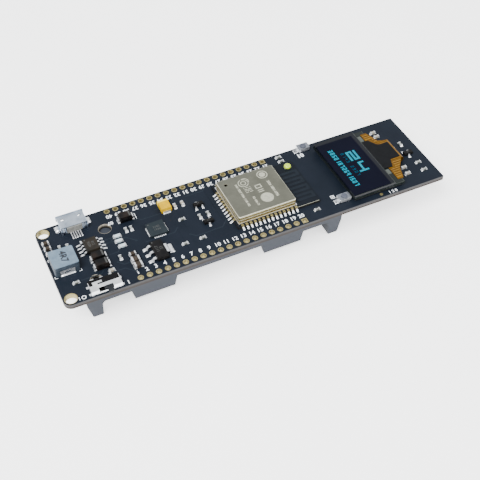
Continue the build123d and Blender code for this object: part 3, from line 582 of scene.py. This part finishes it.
class Piece:
    """Collects shapes in millimetres and turns them into one object."""

    def __init__(self):
        """Starts with no shapes."""
        self.shape = bmesh.new()

    def walls(self, first, second):
        """Faces that join two closed loops of as many points."""
        for index in range(len(first)):
            after = (index + 1) % len(first)
            self.shape.faces.new((first[index], first[after], second[after], second[index]))

    def prism(self, outline, z0, z1):
        """Upright plate over a closed outline of x, y points, given anticlockwise."""
        low = [self.shape.verts.new((x, y, z0)) for x, y in outline]
        high = [self.shape.verts.new((x, y, z1)) for x, y in outline]
        self.shape.faces.new(high)
        self.shape.faces.new(low[::-1])
        self.walls(low, high)

    def plate(self, x0, x1, y0, y1, z0, z1, radius=0.0):
        """Rectangular plate with round corners."""
        self.prism(rounded(x0, x1, y0, y1, radius), z0, z1)

    def bar(self, start, end, width, z0, z1):
        """Straight line of ink or copper with square ends."""
        start = Vector(start)
        end = Vector(end)
        along = (end - start).normalized() * (width / 2)
        side = Vector((-along.y, along.x))
        corners = [start - along - side, end + along - side, end + along + side, start - along + side]
        self.prism([tuple(corner) for corner in corners], z0, z1)

    def path(self, points, width, z0, z1):
        """Line with corners, drawn as one mitred strip."""
        points = [Vector(point) for point in points]
        left = []
        right = []
        for index, point in enumerate(points):
            before = points[max(index - 1, 0)]
            after = points[min(index + 1, len(points) - 1)]
            into = (point - before if index else after - point).normalized()
            away = (after - point).normalized() if point is not points[-1] else into
            bisector = Vector((-into.y - away.y, into.x + away.x)).normalized()
            reach = width / 2 / max(0.4, bisector.dot(Vector((-into.y, into.x))))
            left.append(tuple(point + bisector * reach))
            right.append(tuple(point - bisector * reach))
        for index in range(len(points) - 1):
            self.prism([right[index], right[index + 1], left[index + 1], left[index]], z0, z1)

    def disc(self, x, y, radius, z0, z1, sides=24):
        """Round plate."""
        self.prism(arc(x, y, radius, 0, 360, sides)[:-1], z0, z1)

    def ring(self, x, y, outer, inner, z0, z1, sides=28, start=0.0, turn=360.0):
        """Flat ring, or a part of one."""
        closed = turn >= 360.0
        steps = sides if closed else round(sides * turn / 360)
        spokes = list(zip(arc(x, y, inner, start, turn, steps), arc(x, y, outer, start, turn, steps)))
        rows = []
        for near, far in spokes[:-1] if closed else spokes:
            section = (*near, z0), (*far, z0), (*far, z1), (*near, z1)
            rows.append([self.shape.verts.new(corner) for corner in section])
        for here, there in zip(rows, rows[1:]):
            self.walls(here, there)
        if closed:
            self.walls(rows[-1], rows[0])
        else:
            self.shape.faces.new(rows[0][::-1])
            self.shape.faces.new(rows[-1])

    def text(self, words, x, y, height, z0, z1, angle=0.0, weight=0.0):
        """Block digits, centred on x, y."""
        curve = bpy.data.curves.new("digits", "FONT")
        curve.body = words
        curve.size = height / 0.7  # digits stand 0.7 of the type size tall
        curve.align_x = "CENTER"
        curve.align_y = "CENTER"
        curve.resolution_u = 2
        curve.offset = weight
        curve.extrude = (z1 - z0) / 2
        carrier = bpy.data.objects.new("digits", curve)
        mesh = bpy.data.meshes.new_from_object(carrier)
        turn = Matrix.Rotation(math.radians(angle), 4, "Z")
        mesh.transform(Matrix.Translation((x, y, (z0 + z1) / 2)) @ turn)
        self.shape.from_mesh(mesh)
        bpy.data.objects.remove(carrier)
        bpy.data.curves.remove(curve)
        bpy.data.meshes.remove(mesh)

    def mound(self, pad_low, pad_high, part_low, part_high, height):
        """Solder on a pad: a meniscus that climbs from the pad's rim to the part that stands in it."""
        grid = []
        cells = 6
        reach = max(pad_high[0] - part_high[0], part_low[0] - pad_low[0], 0.12)
        reach = max(reach, pad_high[1] - part_high[1], part_low[1] - pad_low[1])
        for row in range(cells + 1):
            line = []
            for column in range(cells + 1):
                x = pad_low[0] + (pad_high[0] - pad_low[0]) * column / cells
                y = pad_low[1] + (pad_high[1] - pad_low[1]) * row / cells
                aside = max(part_low[0] - x, 0, x - part_high[0])
                beyond = max(part_low[1] - y, 0, y - part_high[1])
                climb = max(0.0, 1 - math.hypot(aside, beyond) / (reach * 1.05)) ** 2
                line.append(self.shape.verts.new((x, y, PAD_TOP + height * climb)))
            grid.append(line)
        for row in range(cells):
            for column in range(cells):
                near = grid[row][column : column + 2]
                self.shape.faces.new(near + grid[row + 1][column : column + 2][::-1])
        rim = grid[0] + [line[-1] for line in grid[1:]]
        rim += grid[-1][-2::-1] + [line[0] for line in grid[-2:0:-1]]
        base = [self.shape.verts.new((v.co.x, v.co.y, PAD_TOP - 0.01)) for v in rim]
        self.walls(base, rim)
        self.shape.faces.new(base[::-1])

    def finish(self, name, look, smooth=False):
        """Turns the shapes into an object in metres that rides on the fixed body and wears the given look."""
        mesh = bpy.data.meshes.new(name)
        bmesh.ops.recalc_face_normals(self.shape, faces=self.shape.faces)
        bmesh.ops.scale(self.shape, vec=(MM, MM, MM), verts=self.shape.verts)
        self.shape.to_mesh(mesh)
        self.shape.free()
        mesh.materials.append(LOOKS[look])
        if smooth:
            mesh.polygons.foreach_set("use_smooth", [True] * len(mesh.polygons))
        piece = show(name, mesh)
        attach(piece, "root")


def arc(x, y, radius, start, turn, steps):
    """Points along a round stretch, anticlockwise; start and turn are in degrees."""
    angles = [math.radians(start + turn * index / steps) for index in range(steps + 1)]
    return [(x + radius * math.cos(angle), y + radius * math.sin(angle)) for angle in angles]


def rounded(x0, x1, y0, y1, radius):
    """Outline of a rectangle with round corners, anticlockwise."""
    radius = min(radius, (x1 - x0) / 2 - 1e-4, (y1 - y0) / 2 - 1e-4)
    if radius <= 0:
        return [(x0, y0), (x1, y0), (x1, y1), (x0, y1)]
    right, left, top, bottom = x1 - radius, x0 + radius, y1 - radius, y0 + radius
    outline = []
    for x, y, start in ((right, bottom, -90), (right, top, 0), (left, top, 90), (left, bottom, 180)):
        outline += arc(x, y, radius, start, 90, 4)
    return outline


# ---- solder joints ----


def nearest(box, others):
    """The box whose middle is nearest to this one's, on the board."""
    middle = ((box[0] + box[1]) / 2).xy
    return min(others, key=lambda other: (((other[0] + other[1]) / 2).xy - middle).length)


def outward(box, owner):
    """Direction from a package's body to one of its leads: axis 0 or 1, and its sign."""
    gaps = []
    for axis in (0, 1):
        gaps.append((box[1][axis] - owner[1][axis], axis, 1))
        gaps.append((owner[0][axis] - box[0][axis], axis, -1))
    return max(gaps)[1:]


def solder_on(pads, joints, pad, part, corner, climb):
    """A round-cornered pad, and the solder between it and the part that stands on it; both as two corners."""
    pads.plate(pad[0].x, pad[1].x, pad[0].y, pad[1].y, TOP, PAD_TOP, corner)
    joints.mound(*pad, *part, climb)


def solder_feet(pads, joints, lead_node, body_node, foot, toe, side, climb):
    """A pad and solder for each lead: foot is how much of it lies flat, toe and side the pad's margins."""
    owners = islands(body_node)
    for low, high in islands(lead_node):
        axis, sign = outward((low, high), nearest((low, high), owners))
        low = low.copy()
        high = high.copy()
        heel = 0.05
        if sign > 0:
            low[axis] = max(low[axis], high[axis] - foot)
        else:
            high[axis] = min(high[axis], low[axis] + foot)
        pad_low = Vector((low.x - side, low.y - side))
        pad_high = Vector((high.x + side, high.y + side))
        pad_low[axis] = low[axis] - (heel if sign > 0 else toe)
        pad_high[axis] = high[axis] + (toe if sign > 0 else heel)
        solder_on(pads, joints, (pad_low, pad_high), (low, high), 0.1, climb)


def solder_board():
    """Pads and solder of every part on the component side."""
    pads = Piece()
    joints = Piece()
    settings = [  # leads, body, then foot, toe, side and climb as solder_feet takes them
        ("ceramic_capacitor_ends", "ceramic_capacitor_bodies", 0.6, 0.2, 0.04, 0.45),
        ("small_capacitor_ends", "small_capacitor_bodies", 0.5, 0.25, 0.04, 0.4),
        ("resistor_ends", "resistor_bodies", 0.5, 0.25, 0.04, 0.3),
        ("indicator_led_ends", "indicator_led_bodies", 0.6, 0.2, 0.03, 0.35),
        ("diode_leads", "diode_bodies", 0.7, 0.2, 0.15, 0.4),
        ("charger_chip_leads", "charger_chip_body", 0.65, 0.45, 0.0, 0.2),
        ("regulator_leads", "regulator_body", 0.9, 0.4, 0.12, 0.25),
        ("usb_bridge_chip_leads", "usb_bridge_chip_body", 0.2, 0.16, 0.02, 0.1),
        ("transistor_leads", "transistor_bodies", 0.45, 0.35, 0.15, 0.18),
        ("tantalum_capacitor_leads", "tantalum_capacitor_body", 0.5, 0.2, 0.05, 0.3),
        ("inductor_clips", "inductor_case", 0.5, 0.25, 0.1, 0.3),
        ("slide_switch_pins", "slide_switch_base", 1.1, 0.35, 0.28, 0.14),
        ("button_terminals", "button_bases", 1.0, 0.15, 0.12, 0.12),
        ("usb_contacts", "usb_tongue", 1.3, 0.3, 0.0, 0.1),
    ]
    for setting in settings:
        solder_feet(pads, joints, *setting)
    shell_low, shell_high = extent("usb_shell")
    half = 0.35  # of a shell tail's width
    y0, y1 = 11.55, 13.25  # a shell tail's ends
    for x in (shell_low.x + half, shell_high.x - half):
        pads.plate(x - 0.75, x + 0.75, y0 - 0.35, y1 + 0.35, TOP, PAD_TOP, 0.3)
        joints.mound((x - 0.7, y0 - 0.3), (x + 0.7, y1 + 0.3), (x - half, y0), (x + half, y1), 0.5)
    pads.finish("solder_pads", "tin_solder")
    joints.finish("solder_joints", "tin_solder", smooth=True)


# ---- module ----


MODULE_PAD_HALF = 0.26  # half the width of a pad
MODULE_PAD_REACH = 1.0  # how far the board's pads stand out past the module's edge


def around(middle, half):
    """Lowest and highest corner of a square on the board."""
    return Vector((middle.x - half, middle.y - half)), Vector((middle.x + half, middle.y + half))


def solder_module():
    """Board pads that reach out from under each castellation, with solder drawn up its half-round."""
    pads = Piece()
    joints = Piece()
    owner = extent("module_board")
    for box in islands("module_castellations"):
        middle = (box[0] + box[1]) / 2
        axis, sign = outward(box, owner)
        rim = (box[1] if sign > 0 else box[0])[axis]
        pad = around(middle, MODULE_PAD_HALF)
        part = around(middle, 0.2)
        pad[0][axis], pad[1][axis] = sorted((rim - sign * 0.1, rim + sign * MODULE_PAD_REACH))
        part[0][axis], part[1][axis] = sorted((rim - sign * 0.2, rim + sign * 0.3))
        solder_on(pads, joints, pad, part, 0.12, 0.5)
    pads.finish("module_solder_pads", "tin_solder")
    joints.finish("module_solder_joints", "tin_solder", smooth=True)


def shield_flange():
    """Polished foot of the can: a thin rim that stands out all round where the can meets the module."""
    low, high = extent("module_shield")
    rim = Piece()
    out = 0.22
    gap = 0.01
    for y0, y1 in ((low.y - out, low.y - gap), (high.y + gap, high.y + out)):
        rim.plate(low.x - out, high.x + out, y0, y1, low.z, low.z + 0.14)
    for x0, x1 in ((low.x - out, low.x - gap), (high.x + gap, high.x + out)):
        rim.plate(x0, x1, low.y - gap, high.y + gap, low.z, low.z + 0.14)
    rim.finish("shield_flange", "bright_steel")


def module_antenna():
    """Meander of covered copper on the free end of the module, with its feed and a fine pale line at the rim,
    a painted highlight on the module's edge.
    """
    low, high = extent("module_board")
    x0 = extent("module_shield")[1].x + 1.0
    x1 = high.x - 0.7
    start_y = low.y + 2.4
    pitch = 1.63
    line = 0.9, high.z - 0.005, high.z + 0.03  # width, underside and top of the copper
    trace = Piece()
    points = []
    for index in range(4):
        y = start_y + index * 2 * pitch
        points += [(x0, y), (x1, y), (x1, y + pitch), (x0, y + pitch)]
    trace.path(points, *line)
    trace.path([(x0, start_y), (x0 - 0.5, start_y - 0.5), (x0 - 0.5, low.y + 0.7)], *line)
    trace.finish("module_antenna_trace", "antenna")
    # pale strip along the module's front edge: a painted highlight
    edge = Piece()
    edge.plate(x0 - 0.9, high.x - 0.3, low.y + 0.02, low.y + 0.12, high.z, high.z + 0.015)
    edge.finish("module_edge_highlight", "etch_mark_and_highlight")


def shield_marks():
    """Generic etched rings, a dot grid, plain signs and rows of digits on the can."""
    high = extent("module_shield")[1]
    span = high.z - SUNK, high.z + 0.008
    line = 0.32, *span
    marks = Piece()
    marks.text("0481 2207 5936 1148 602", -0.65, 0.15, 0.62, *span, angle=-90, weight=0.05)
    marks.ring(1.6, 4.5, 1.55, 1.3, *span)
    marks.ring(1.6, 4.5, 0.85, 0.6, *span)
    marks.ring(2.2, 5.0, 1.3, 1.08, *span, start=-60, turn=200)
    for row in range(7):
        for column in range(7):
            if (row * row + 3 * column + row * column) % 4 != 1:
                x = 0.75 + 0.31 * column
                y = 0.5 + 0.31 * row
                marks.plate(x, x + 0.26, y, y + 0.26, *span)
    marks.text("R2 408-73", 1.85, -3.4, 0.62, *span, angle=-90, weight=0.05)
    marks.path([(4.1, 2.2), (5.7, 2.2), (5.7, 1.0), (4.1, 1.0), (4.1, 2.2)], *line)
    marks.bar((4.2, 0.1), (5.6, 0.1), *line)
    marks.bar((4.2, -0.6), (5.6, -0.6), *line)
    marks.disc(5.3, -3.4, 1.85, *span, sides=36)
    marks.ring(8.0, 5.5, 1.6, 1.3, *span, sides=36)
    marks.disc(8.0, 5.5, 0.95, *span)
    marks.text("2026 1834 0756", 8.3, -0.8, 0.72, *span, angle=-90, weight=0.06)
    marks.finish("shield_marks", "etch_mark_and_highlight")


# ---- ink on the board ----


def printed_marks():
    """Small printed digits beside the buttons, the display and the back diode; one of them is framed."""
    ink = Piece()
    reset = extent("reset_button_cover")[0]
    ink.text("10", reset.x - 0.1, reset.y - 1.15, 1.5, TOP, INK_TOP, weight=0.1)
    boot_low, boot_high = extent("boot_button_cover")
    x0, x1 = boot_low.x - 1.1, boot_low.x - 0.1
    y0, y1 = boot_high.y + 0.4, boot_high.y + 1.5
    ink.path([(x0, y0), (x1, y0), (x1, y1), (x0, y1), (x0, y0)], 0.18, TOP, INK_TOP)
    ink.text("8", boot_low.x - 0.6, boot_high.y + 0.95, 0.7, TOP, INK_TOP, angle=-90, weight=0.03)
    glass = extent("display_rear_glass")[0]
    ink.text("1 2 0", glass.x + 12.3, glass.y - 0.75, 0.95, TOP, INK_TOP, weight=0.04)
    diode = islands("diode_bodies")[-1][0]
    ink.text("07", diode.x - 2.4, diode.y + 1.7, 1.1, TOP, INK_TOP, angle=180, weight=0.05)
    ink.finish("printed_marks", "white_ink")


def test_pad():
    """Bare round pad between the display and the front edge of the board."""
    dot = Piece()
    dot.disc(36.6, -13.4, 0.5, TOP, PAD_TOP, sides=20)
    dot.finish("test_pad", "gold_plating")


def inductor_digits():
    """Digits on the inductor's case, which is the highest part, so that they hardly stand out."""
    dark = Piece()
    low, high = extent("inductor_case")
    middle = (low + high) / 2
    span = high.z - SUNK, high.z + 0.0015
    dark.text("4R7", middle.x + 0.1, middle.y + 0.1, 1.75, *span, angle=-90, weight=0.09)
    dark.finish("inductor_digits", "dark_ink")


def package_digits():
    """Two rows of digits and a dot on each chip, and one row on each transistor."""
    pale = Piece()
    for node, digits, size, turn in (
        ("charger_chip_body", ("4056", "218"), 0.75, 90),
        ("usb_bridge_chip_body", ("2102", "1934"), 0.7, 0),
        ("regulator_body", ("1117", "33"), 0.85, 90),
    ):
        low, high = extent(node)
        middle = (low + high) / 2
        z0 = high.z - SUNK
        for row, words in enumerate(digits):
            shift = 0.5 - row * 1.1
            x = middle.x - (shift if turn else 0)
            y = middle.y + (0 if turn else shift)
            pale.text(words, x, y, size, z0, z0 + 0.008, angle=turn, weight=0.01)
        pale.disc(low.x + 0.65, high.y - 0.65, 0.22, z0, z0 + 0.008, sides=20)
    for low, high in islands("transistor_bodies"):
        middle = (low + high) / 2
        z0 = high.z - SUNK
        pale.text("2T", middle.x, middle.y, 0.6, z0, z0 + 0.008)
    pale.finish("package_digits", "chip_mark")


def diode_bands():
    """Band at the +X end of each diode."""
    bands = Piece()
    for low, high in islands("diode_bodies"):
        z0 = high.z - SUNK
        bands.plate(high.x - 0.95, high.x - 0.5, low.y + 0.25, high.y - 0.25, z0, z0 + 0.01)
    bands.finish("diode_bands", "chip_mark")


def resistor_digits():
    """Value digits on each resistor's glaze."""
    piece = Piece()
    for index, (low, high) in enumerate(islands("resistor_bodies")):
        middle = (low + high) / 2
        tall = high.y - low.y > high.x - low.x
        words = ("103", "472", "512", "101")[index % 4]
        piece.text(words, middle.x, middle.y, 0.34, high.z - 0.003, high.z + 0.006, angle=90 if tall else 0)
    piece.finish("resistor_digits", "white_ink")


def inductor_brackets(ink):
    """Printed right angles at the inductor's corners."""
    low, high = extent("inductor_case")
    margin = 0.2
    arm = 0.7
    for x, toward_x in ((low.x - margin, 1), (high.x + margin, -1)):
        for y, toward_y in ((low.y - margin, 1), (high.y + margin, -1)):
            ink.path([(x + toward_x * arm, y), (x, y), (x, y + toward_y * arm)], 0.12, TOP, INK_TOP)


def pin_numbers(ink):
    """Numbers along both header rows, 1 to 20 at the front and 40 down to 21 at the back."""
    for node, side in (("header_plating_front", 1), ("header_plating_back", -1)):
        for index, (low, high) in enumerate(islands(node)):
            x = (low.x + high.x) / 2
            y = (low.y + high.y) / 2 + side * 2.05
            number = index + 1 if side > 0 else 40 - index
            ink.text(str(number), x, y, 1.28, TOP, INK_TOP, angle=0 if side > 0 else 180, weight=0.035)


def board_ink():
    """Pin numbers, the inductor's outline and orientation marks."""
    ink = Piece()
    pin_numbers(ink)
    low, high = islands("diode_bodies")[-1]
    ink.bar((high.x + 1.05, low.y + 0.1), (high.x + 1.05, high.y - 0.1), 0.16, TOP, INK_TOP)
    inductor_brackets(ink)
    low, high = extent("charger_chip_body")
    ink.disc(low.x - 0.1, high.y + 0.75, 0.22, TOP, INK_TOP)
    low, high = extent("slide_switch_shell")
    ink.ring(low.x - 1.4, low.y + 0.75, 0.62, 0.42, TOP, INK_TOP)
    for x, start, end in ((low.x - 2.6, 0.4, 1.2), (high.x + 1.2, 0.2, 1.3)):
        ink.bar((x, low.y + start), (x, low.y + end), 0.2, TOP, INK_TOP)
    ink.finish("board_ink", "white_ink")


def copper_tracks():
    """Tracks under the mask on both sides, each with a small ring at its end on the component side."""
    chance = random.Random(41)
    covering = "module_board", "inductor_case", "display_rear_glass", "slide_switch_shell"
    keep_out = [extent(node) for node in covering]
    margin = 0.8
    tracks = Piece()
    vias = Piece()
    for front, z0, tries in ((True, TOP, 46), (False, BOTTOM - 0.02, 60)):
        for _ in range(tries):
            x = chance.uniform(BOARD_LOW.x + 4, BOARD_HIGH.x - 6)
            y = chance.uniform(-10.5, 10.5)
            run = chance.uniform(3, 9) * chance.choice((-1, 1))
            slope = chance.uniform(0.8, 2.6) * chance.choice((-1, 1))
            points = [(x, y), (x + run, y), (x + run + math.copysign(abs(slope), run), y + slope)]
            inside = all(BOARD_LOW.x + 2 < px < BOARD_HIGH.x - 2 and abs(py) < 11.4 for px, py in points)
            blocked = front and any(
                low.x - margin < px < high.x + margin and low.y - margin < py < high.y + margin
                for low, high in keep_out
                for px, py in points
            )
            if inside and not blocked:
                tracks.path(points, 0.26, z0, z0 + 0.02)
                if front:
                    vias.ring(*points[-1], 0.3, 0.14, TOP, TOP + 0.035, sides=16)
    tracks.finish("covered_tracks", "covered_copper")
    vias.finish("via_rings", "covered_copper")


def peg_hole_walls():
    """Bare drilled wall above the holder's pegs in the two locating holes."""
    walls = Piece()
    holes = (-38.95, 7.3, 1.85), (-46.9, -8.9, 1.65)  # x, y and radius of each
    for x, y, radius in holes:
        walls.ring(x, y, radius - 0.004, radius - 0.05, BOTTOM + 0.4, TOP - 0.005, sides=48)
    walls.finish("peg_hole_walls", "hole_wall", smooth=True)


def holder_joints():
    """Solder on the holder's tails under the board, with printed polarity signs beside them."""
    pads = Piece()
    joints = Piece()
    signs = Piece()
    for node in ("battery_contact_positive", "battery_contact_negative"):
        low, high = extent(node)
        positive = node.endswith("positive")
        x0, x1 = (high.x - 2.6, high.x + 0.5) if positive else (low.x - 0.5, low.x + 2.6)
        pads.plate(x0, x1, low.y - 0.5, high.y + 0.5, BOTTOM - 0.035, BOTTOM, 0.3)
        for index in range(3):
            y = low.y + (index + 0.5) * (high.y - low.y) / 3
            tip = high.x + 0.05 if positive else low.x - 0.05
            joints.disc(tip, y, 0.55, BOTTOM - 0.32, BOTTOM - 0.03, sides=20)
        x = (x0 + x1) / 2
        y = low.y - 1.9
        signs.bar((x - 0.6, y), (x + 0.6, y), 0.3, BOTTOM - 0.02, BOTTOM)
        if positive:
            signs.bar((x, y - 0.6), (x, y + 0.6), 0.3, BOTTOM - 0.021, BOTTOM)
    pads.finish("tail_pads", "tin_solder")
    joints.finish("tail_solder", "tin_solder", smooth=True)
    signs.finish("polarity_signs", "white_ink")


# ---- display ----


SEGMENTS = {"0": "abcdef", "1": "bc", "2": "abged", "3": "abgcd", "4": "fgbc"}
SEGMENTS.update({"5": "afgcd", "6": "afgedc", "7": "abc", "8": "abcdefg", "9": "abcdfg"})
DOT = 0.17  # pitch of the display's dots


def digit_dots(digit, wide, tall, stroke):
    """Lit dots of one block digit, as column and row counted from its lower left."""
    half = tall // 2
    bars = {
        "a": (0, wide, tall - stroke, tall),
        "d": (0, wide, 0, stroke),
        "g": (0, wide, half - stroke // 2, half - stroke // 2 + stroke),
        "f": (0, stroke, half, tall),
        "b": (wide - stroke, wide, half, tall),
        "e": (0, stroke, 0, half),
        "c": (wide - stroke, wide, 0, half),
    }
    lit = set()
    for name in SEGMENTS[digit]:
        left, right, bottom, top = bars[name]
        lit |= {(column, row) for column in range(left, right) for row in range(bottom, top)}
    return lit


def digit_row(text, wide, tall, stroke, gap):
    """Dots of a row of digits."""
    dots = set()
    cursor = 0
    for character in text:
        if character != " ":
            dots |= {(cursor + column, row) for column, row in digit_dots(character, wide, tall, stroke)}
        cursor += wide + gap
    return dots, cursor - gap


def display_row(piece, text, x, y, *form):
    """A row of lit digits with its foot at x, centred on y: they stand up towards +X and read towards -Y.

    form is each digit's width, height and stroke and the gap after it, all counted in dots.
    """
    dots, wide = digit_row(text, *form)
    z = extent("display_polariser")[1].z - 0.006
    lit = DOT * 0.88
    for column, row in dots:
        x0 = x + row * DOT
        y0 = y + wide * DOT / 2 - column * DOT
        piece.plate(x0, x0 + lit, y0 - lit, y0, z, z + 0.012)


def display_picture():
    """Two large digits, a dim row of small digits under them and a bright row of digits, all made of dots."""
    bright = Piece()
    display_row(bright, "24", 34.4, -0.5, 24, 18, 4, 6)
    display_row(bright, "38501972641507", 30.1, -1.4, 5, 9, 2, 2)
    bright.finish("display_bright_dots", "lit_pixels")
    dim = Piece()
    display_row(dim, "8143 2907", 32.9, -0.9, 4, 6, 1, 3)
    dim.finish("display_dim_dots", "dim_pixels")


FLEX_TOP = extent("display_flex_tail")[1].z
FOLD_X = extent("display_flex_tail")[1].x - 0.87  # where the flex begins to bend down
LEDGE_Z = extent("display_driver_chip")[0].z  # top of the rear glass, where it stands out past the front one


def flex_tape():
    """Tape over the bonded end of the flex."""
    tape = Piece()
    outline = [(41.55, -6.0), (44.4, -6.4), (45.5, -3.4), (FOLD_X - 0.2, -3.3), (FOLD_X - 0.2, 3.6)]
    outline += [(46.3, 3.5), (45.2, 3.9), (43.7, 6.6), (41.55, 6.6)]
    tape.prism(outline, FLEX_TOP + 0.005, FLEX_TOP + 0.16)
    tape.finish("flex_tape", "black_tape")


def flex_copper():
    """Thin bright lines in copper colour along the fold and beside the tape: a painted highlight on the bend
    and on the edge of the flex's top layer.
    """
    copper = Piece()
    bend = FOLD_X + 0.05
    neck = FOLD_X - 0.2
    for start, end, width in (
        ((bend, -3.5), (bend, 4.4), 0.16),
        ((45.7, -3.62), (neck, -3.52), 0.16),
        ((46.6, 3.9), (neck, 3.9), 0.14),
    ):
        copper.bar(start, end, width, FLEX_TOP, FLEX_TOP + 0.03)
    copper.finish("flex_highlight_lines", "copper_and_edge_highlight")


def flex_rim(y):
    """Outer edge of the flex's wings, along X, at a given y: each wing tapers in two straight runs."""
    if y < -7.6:
        return 46.2 + (y + 7.6) / 3
    if y < -3.9:
        return 49.0 + (y + 3.9) * 0.757
    return 46.6 - max(0.0, y - 5.3) * 0.348


def flex_conductors():
    """Broad conductors across both wings of the flex, fewer on the +Y wing."""
    ribs = Piece()
    for index in range(8):
        reach = 4.7 + 0.85 * index
        left = 43.5 if reach > 6.6 else 45.4
        for y in (-reach, reach):
            if y < 0 or 5.0 < y < 9.6:
                ribs.bar((left, y), (flex_rim(y) - 0.35, y), 0.3, FLEX_TOP, FLEX_TOP + 0.02)
    ribs.finish("flex_conductors", "copper_and_edge_highlight")


def ledge_windows():
    """Clear corners of the ledge, on both sides of the flex."""
    glass = Piece()
    for x, y0, y1 in ((41.7, 6.9, 9.4), (41.5, -8.6, -6.6)):
        glass.plate(x, 42.9, y0, y1, LEDGE_Z, LEDGE_Z + 0.02, 0.2)
    glass.finish("ledge_windows", "clear_glass")


def glass_glints():
    """Fine bright lines along the cut edges of both glasses."""
    rims = Piece()
    low, high = extent("display_rear_glass")
    front_low, front_high = extent("display_front_glass")
    top = front_high.z
    inset = 0.1
    for start, end, width, z in (
        ((front_low.x + 0.1, front_low.y + inset), (front_high.x - 0.1, front_low.y + inset), 0.07, top),
        ((front_high.x - inset, front_low.y), (front_high.x - inset, front_high.y), 0.07, top),
        ((high.x - inset, low.y + 0.2), (high.x - inset, high.y - 0.2), 0.08, LEDGE_Z),
        ((front_high.x + 0.2, low.y + inset), (high.x - 0.3, low.y + inset), 0.08, LEDGE_Z),
    ):
        rims.bar(start, end, width, z, z + 0.01)
    rims.finish("glass_edge_glints", "clear_glass")


# ---- floor, light and camera ----


def floor():
    """Sheet of paper under the board, 6 m across."""
    mesh = bpy.data.meshes.new("floor")
    reach = 3.0
    corners = (-reach, -reach, 0), (reach, -reach, 0), (reach, reach, 0), (-reach, reach, 0)
    mesh.from_pydata(corners, [], [(0, 1, 2, 3)])
    mesh.materials.append(LOOKS["floor_white"])
    slab = show("floor", mesh)


def area_light(name, place, size, power):
    """Round lamp that shines at the board; place and size are in metres."""
    lamp = bpy.data.lights.new(name, "AREA")
    lamp.shape = "DISK"
    lamp.size = size
    lamp.energy = power
    holder = show(name, lamp)
    holder.location = place
    holder.rotation_euler = (-Vector(place)).to_track_quat("-Z", "Y").to_euler()


def studio():
    """Even pale surroundings, a soft key light and a fill."""
    world = bpy.data.worlds.new("studio")
    world.use_nodes = True
    background = world.node_tree.nodes["Background"]
    background.inputs["Color"].default_value = (0.97, 0.985, 1.0, 1)
    background.inputs["Strength"].default_value = 1.35
    bpy.context.scene.world = world
    area_light("key", (-0.45, -0.25, 0.75), 0.5, 16.0)
    area_light("fill", (0.6, -0.5, 0.5), 0.6, 5.0)


def camera():
    """View from above the board's front left, placed in metres."""
    lens = bpy.data.cameras.new("camera")
    lens.sensor_width = 36.0
    lens.lens = 65.84
    lens.clip_start = 0.01
    eye = show("camera", lens)
    place = Vector((-0.07636, -0.15840, 0.18635))
    aim = Vector((-0.00731, -0.01229, 0.0127))
    eye.location = place
    eye.rotation_euler = (aim - place).to_track_quat("-Z", "Y").to_euler()
    bpy.context.scene.camera = eye


paint_nodes()
soften("battery_holder", 0.22)
soften("circuit_board", 0.06, 1)
soften("reset_button_cover", 0.1)
soften("boot_button_cover", 0.1)
soften("slide_switch_shell", 0.05)
soften("slide_switch_knob", 0.08)
soften("usb_tongue", 0.06)
solder_board()
solder_module()
shield_flange()
module_antenna()
shield_marks()
board_ink()
printed_marks()
test_pad()
inductor_digits()
package_digits()
diode_bands()
resistor_digits()
copper_tracks()
peg_hole_walls()
holder_joints()
display_picture()
flex_tape()
flex_copper()
flex_conductors()
ledge_windows()
glass_glints()
floor()
studio()
camera()
